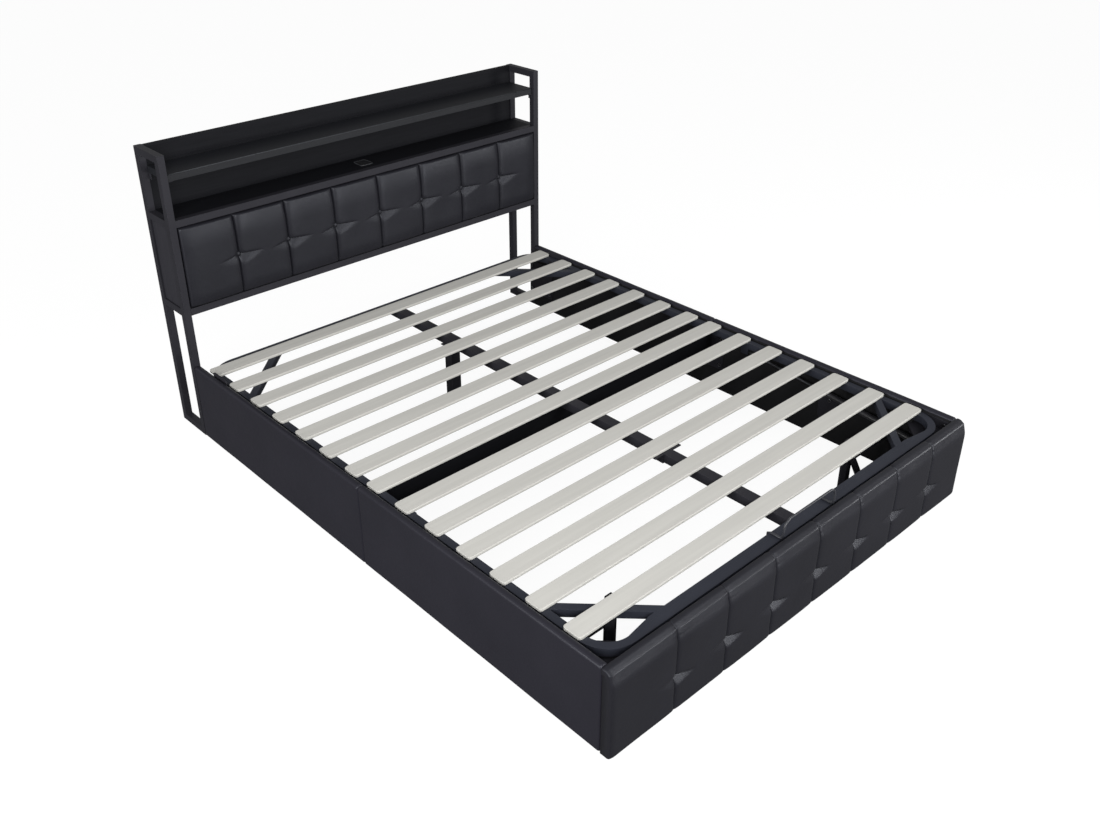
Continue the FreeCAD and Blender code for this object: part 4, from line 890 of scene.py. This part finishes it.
# Much lighter than the laminate: a painted highlight along the shelf's front arris.
arris_painted_highlight = grained_finish(
    "shelf_arris_painted_highlight", roughness=0.5, specular=0.25, dark=(0.025, 0.027, 0.031),
    light=(0.031, 0.033, 0.038), scale=60.0)
bolt_black = grained_finish(
    "bolt_black", roughness=0.35, specular=0.5, metallic=0.6, dark=(0.035, 0.035, 0.038),
    light=(0.050, 0.050, 0.054), scale=300.0)
# Bright polished steel on the black bolt heads: a painted highlight round each rim.
rim_highlight_metal = grained_finish(
    "bolt_rim_painted_highlight", roughness=0.3, specular=0.5, metallic=1.0, dark=(0.20, 0.20, 0.22),
    light=(0.28, 0.28, 0.30), scale=400.0)
rod_black = grained_finish(
    "rod_black_satin", roughness=0.3, specular=0.5, dark=(0.026, 0.027, 0.032),
    light=(0.032, 0.033, 0.039), scale=60.0)
rod_steel = grained_finish(
    "rod_steel_dark", roughness=0.3, specular=0.5, metallic=0.8, dark=(0.075, 0.078, 0.088),
    light=(0.110, 0.114, 0.125), scale=200.0, stretch=(1, 0.1, 1), height=0.00003)

# %% [markdown]
# ### Handing out the finishes
#
# The record says which material slot each CAD node has. A table from slots to finishes dresses
# all the nodes in one go. A few nodes look different from the rest of their slot: the platform's
# tubes are a shade bluer, and the cabinet sides and the upper shelf are painted lighter for the
# light and the sheen on them. So a second table comes first, and the new pieces get theirs from
# a list.

# %% Dress every node and every new piece
SLOT_FINISH = {"slat_wood": slat_wood, "leather": leather, "laminate": laminate,
               "core_board": lining, "rubber": rubber, "module_plastic": plastic,
               "bolt_steel": bolt_black, "rod_steel": rod_steel,
               "cylinder_paint": cylinder_paint, "frame_steel": steel}
NODE_FINISH = {"cabinet_sides": side_laminate_painted_light, "upper_shelf": shelf_laminate_painted_sheen,
               "platform_head_frame": blue_steel, "platform_foot_frame": blue_steel,
               "foot_stiffener": blue_steel, "corner_braces": blue_steel}


def dress(piece, finish):
    """Give a piece one finish and no other."""
    piece.data.materials.clear()
    piece.data.materials.append(finish)


for row in frame["record"]["subparts"]:
    slot_finish = SLOT_FINISH[row["material_slot"]]
    dress(frame["nodes"][row["node"]], NODE_FINISH.get(row["node"], slot_finish))
new_pieces = [(headboard_cushion, leather), (pad_buttons, leather), (footboard_cushion, leather),
              (stop_rod, rod_black), (shelf_arris, arris_painted_highlight), (module_rim, rim_highlight_paint),
              (bolt_rims, rim_highlight_metal)]
new_pieces += [(piece, rail_leather_painted_light) for piece in rail_cushions]
new_pieces += [(slat, slat_wood) for slat in slats]
for piece, finish in new_pieces:
    dress(piece, finish)

# %% [markdown]
# ## Floor, sky and lamps
#
# The bed stands in plain white. The floor takes the shadow by being lit like any surface, and
# adds a glow that only the camera sees in full, which lifts it to white. So the white adds no
# light to the bed itself. Shiny faces see a share of it: in full, it would turn the black
# leather grey wherever the eye meets it at a slant.

# %% White that only the eye sees
MIRROR_SHARE = 0.05


def maths(tree, operation, first, second):
    """One sum on two values, each a socket or a plain number."""
    node = tree.nodes.new("ShaderNodeMath")
    node.operation = operation
    for value, socket in zip((first, second), node.inputs):
        if isinstance(value, float):
            socket.default_value = value
        else:
            tree.links.new(value, socket)
    return node.outputs[0]


def seen_directly(tree):
    """1 for rays from the camera and through glass, a share for rays off a shiny face, else 0."""
    path = tree.nodes.new("ShaderNodeLightPath")
    mirrored = maths(tree, "MULTIPLY", path.outputs["Is Glossy Ray"], MIRROR_SHARE)
    through = maths(tree, "MAXIMUM", path.outputs["Is Transmission Ray"], mirrored)
    return maths(tree, "MAXIMUM", path.outputs["Is Camera Ray"], through)


def only_seen(tree, kind, plain, seen):
    """Two white lights, of strength plain and of strength seen, mixed by seen_directly."""
    choose = tree.nodes.new("ShaderNodeMixShader")
    tree.links.new(seen_directly(tree), choose.inputs["Fac"])
    for strength, socket in ((plain, 1), (seen, 2)):
        light = tree.nodes.new(kind)
        light.inputs["Color"].default_value = (1, 1, 1, 1)
        light.inputs["Strength"].default_value = strength
        tree.links.new(light.outputs[0], choose.inputs[socket])
    return choose.outputs[0]


# %% White floor
FLOOR_HALF, FLOOR_Z = 30, -0.0005
FLOOR_PAINT, FLOOR_GLOW = 0.11, 0.93
floor_mesh = bpy.data.meshes.new("floor")
floor_corners = [(FLOOR_HALF * a, FLOOR_HALF * b, FLOOR_Z)
                 for a, b in ((-1, -1), (1, -1), (1, 1), (-1, 1))]
floor_mesh.from_pydata(floor_corners, [], [(0, 1, 2, 3)])
floor = bpy.data.objects.new("floor", floor_mesh)
bpy.context.scene.collection.objects.link(floor)
floor_finish = bpy.data.materials.new("floor_white")
floor_finish.use_nodes = True
tree = floor_finish.node_tree
tree.nodes.clear()
output = tree.nodes.new("ShaderNodeOutputMaterial")
paint = tree.nodes.new("ShaderNodeBsdfDiffuse")
paint.inputs["Color"].default_value = (FLOOR_PAINT, FLOOR_PAINT, FLOOR_PAINT, 1)
total = tree.nodes.new("ShaderNodeAddShader")
tree.links.new(paint.outputs[0], total.inputs[0])
tree.links.new(only_seen(tree, "ShaderNodeEmission", 0.0, FLOOR_GLOW), total.inputs[1])
tree.links.new(total.outputs[0], output.inputs["Surface"])
floor_mesh.materials.append(floor_finish)
print("floor glow:", FLOOR_GLOW, "to the eye,", round(FLOOR_GLOW * MIRROR_SHARE, 3), "mirrored")

# %% [markdown]
# The sky is white to the eye as well, and lights the bed softly from all around with a much
# smaller strength. It fills the shade that the lamps leave.

# %% Sky
SKY_LIGHT, SKY_WHITE = 0.36, 1.0
world = bpy.data.worlds.new("sky")
bpy.context.scene.world = world
world.use_nodes = True
tree = world.node_tree
tree.nodes.clear()
output = tree.nodes.new("ShaderNodeOutputWorld")
sky = only_seen(tree, "ShaderNodeBackground", SKY_LIGHT, SKY_WHITE)
tree.links.new(sky, output.inputs["Surface"])
print("sky strength:", SKY_LIGHT, "as light,", SKY_WHITE, "to the eye")

# %% [markdown]
# Large flat lamps give the soft highlights along the rolls of the leather. The low one stands in
# front of the footboard and draws the light line along its roll. The two strong ones, beside the
# camera and on the left, bring out the footboard, the long rail and the side of the headboard.
# The key, front and right lamps are weaker and shape the pads.


# %% Lamps
def soft_lamp(name, place, target, size, power):
    """A flat lamp, size wide and high in metres, that looks at a target."""
    lamp = bpy.data.lights.new(name, "AREA")
    lamp.shape = "RECTANGLE"
    lamp.size, lamp.size_y = size
    lamp.energy = power
    holder = bpy.data.objects.new(name, lamp)
    holder.location = place
    holder.rotation_euler = (Vector(target) - Vector(place)).to_track_quat("-Z", "Y").to_euler()
    bpy.context.scene.collection.objects.link(holder)
    print(name, "at", place, "with", power, "W")


soft_lamp("key_lamp", (-3.0, -1.4, 3.6), (0, 0.3, 0.4), size=(1.2, 1.2), power=35)
soft_lamp("front_lamp", (0.9, -3.4, 2.9), (0, 0.3, 0.5), size=(1.4, 1.4), power=55)
soft_lamp("low_lamp", (0.95, -4.4, 0.40), (0.1, -1.1, 0.2), size=(1.9, 0.6), power=62)
soft_lamp("side_lamp", (-3.2, -3.3, 2.0), (0, 0.2, 0.4), size=(1.4, 1.4), power=120)
soft_lamp("left_lamp", (-5.0, 0.2, 1.2), (-0.8, 0, 0.3), size=(1.6, 1.6), power=128)
soft_lamp("right_lamp", (3.6, -3.2, 1.0), (0.5, 0.8, 0.6), size=(1.2, 1.2), power=62)

# %% [markdown]
# ## Camera
#
# The camera was solved from the bed's own straight edges, so the render lines up with the
# photograph. A small shift puts the bed where the photograph has it.

# %% Camera
camera_data = bpy.data.cameras.new("camera")
camera_data.sensor_width = 36
camera_data.lens = 35.784
camera_data.shift_x = 0.0019
camera_data.shift_y = -0.0382
camera = bpy.data.objects.new("camera", camera_data)
camera.location = (-2.2331, -2.3891, 2.1454)
camera.rotation_euler = Euler(np.radians([61.1, 0.0, -43.1]))
bpy.context.scene.collection.objects.link(camera)
bpy.context.scene.camera = camera
bpy.context.scene.view_settings.view_transform = "Standard"
print("camera lens in millimetres:", round(camera_data.lens, 3))
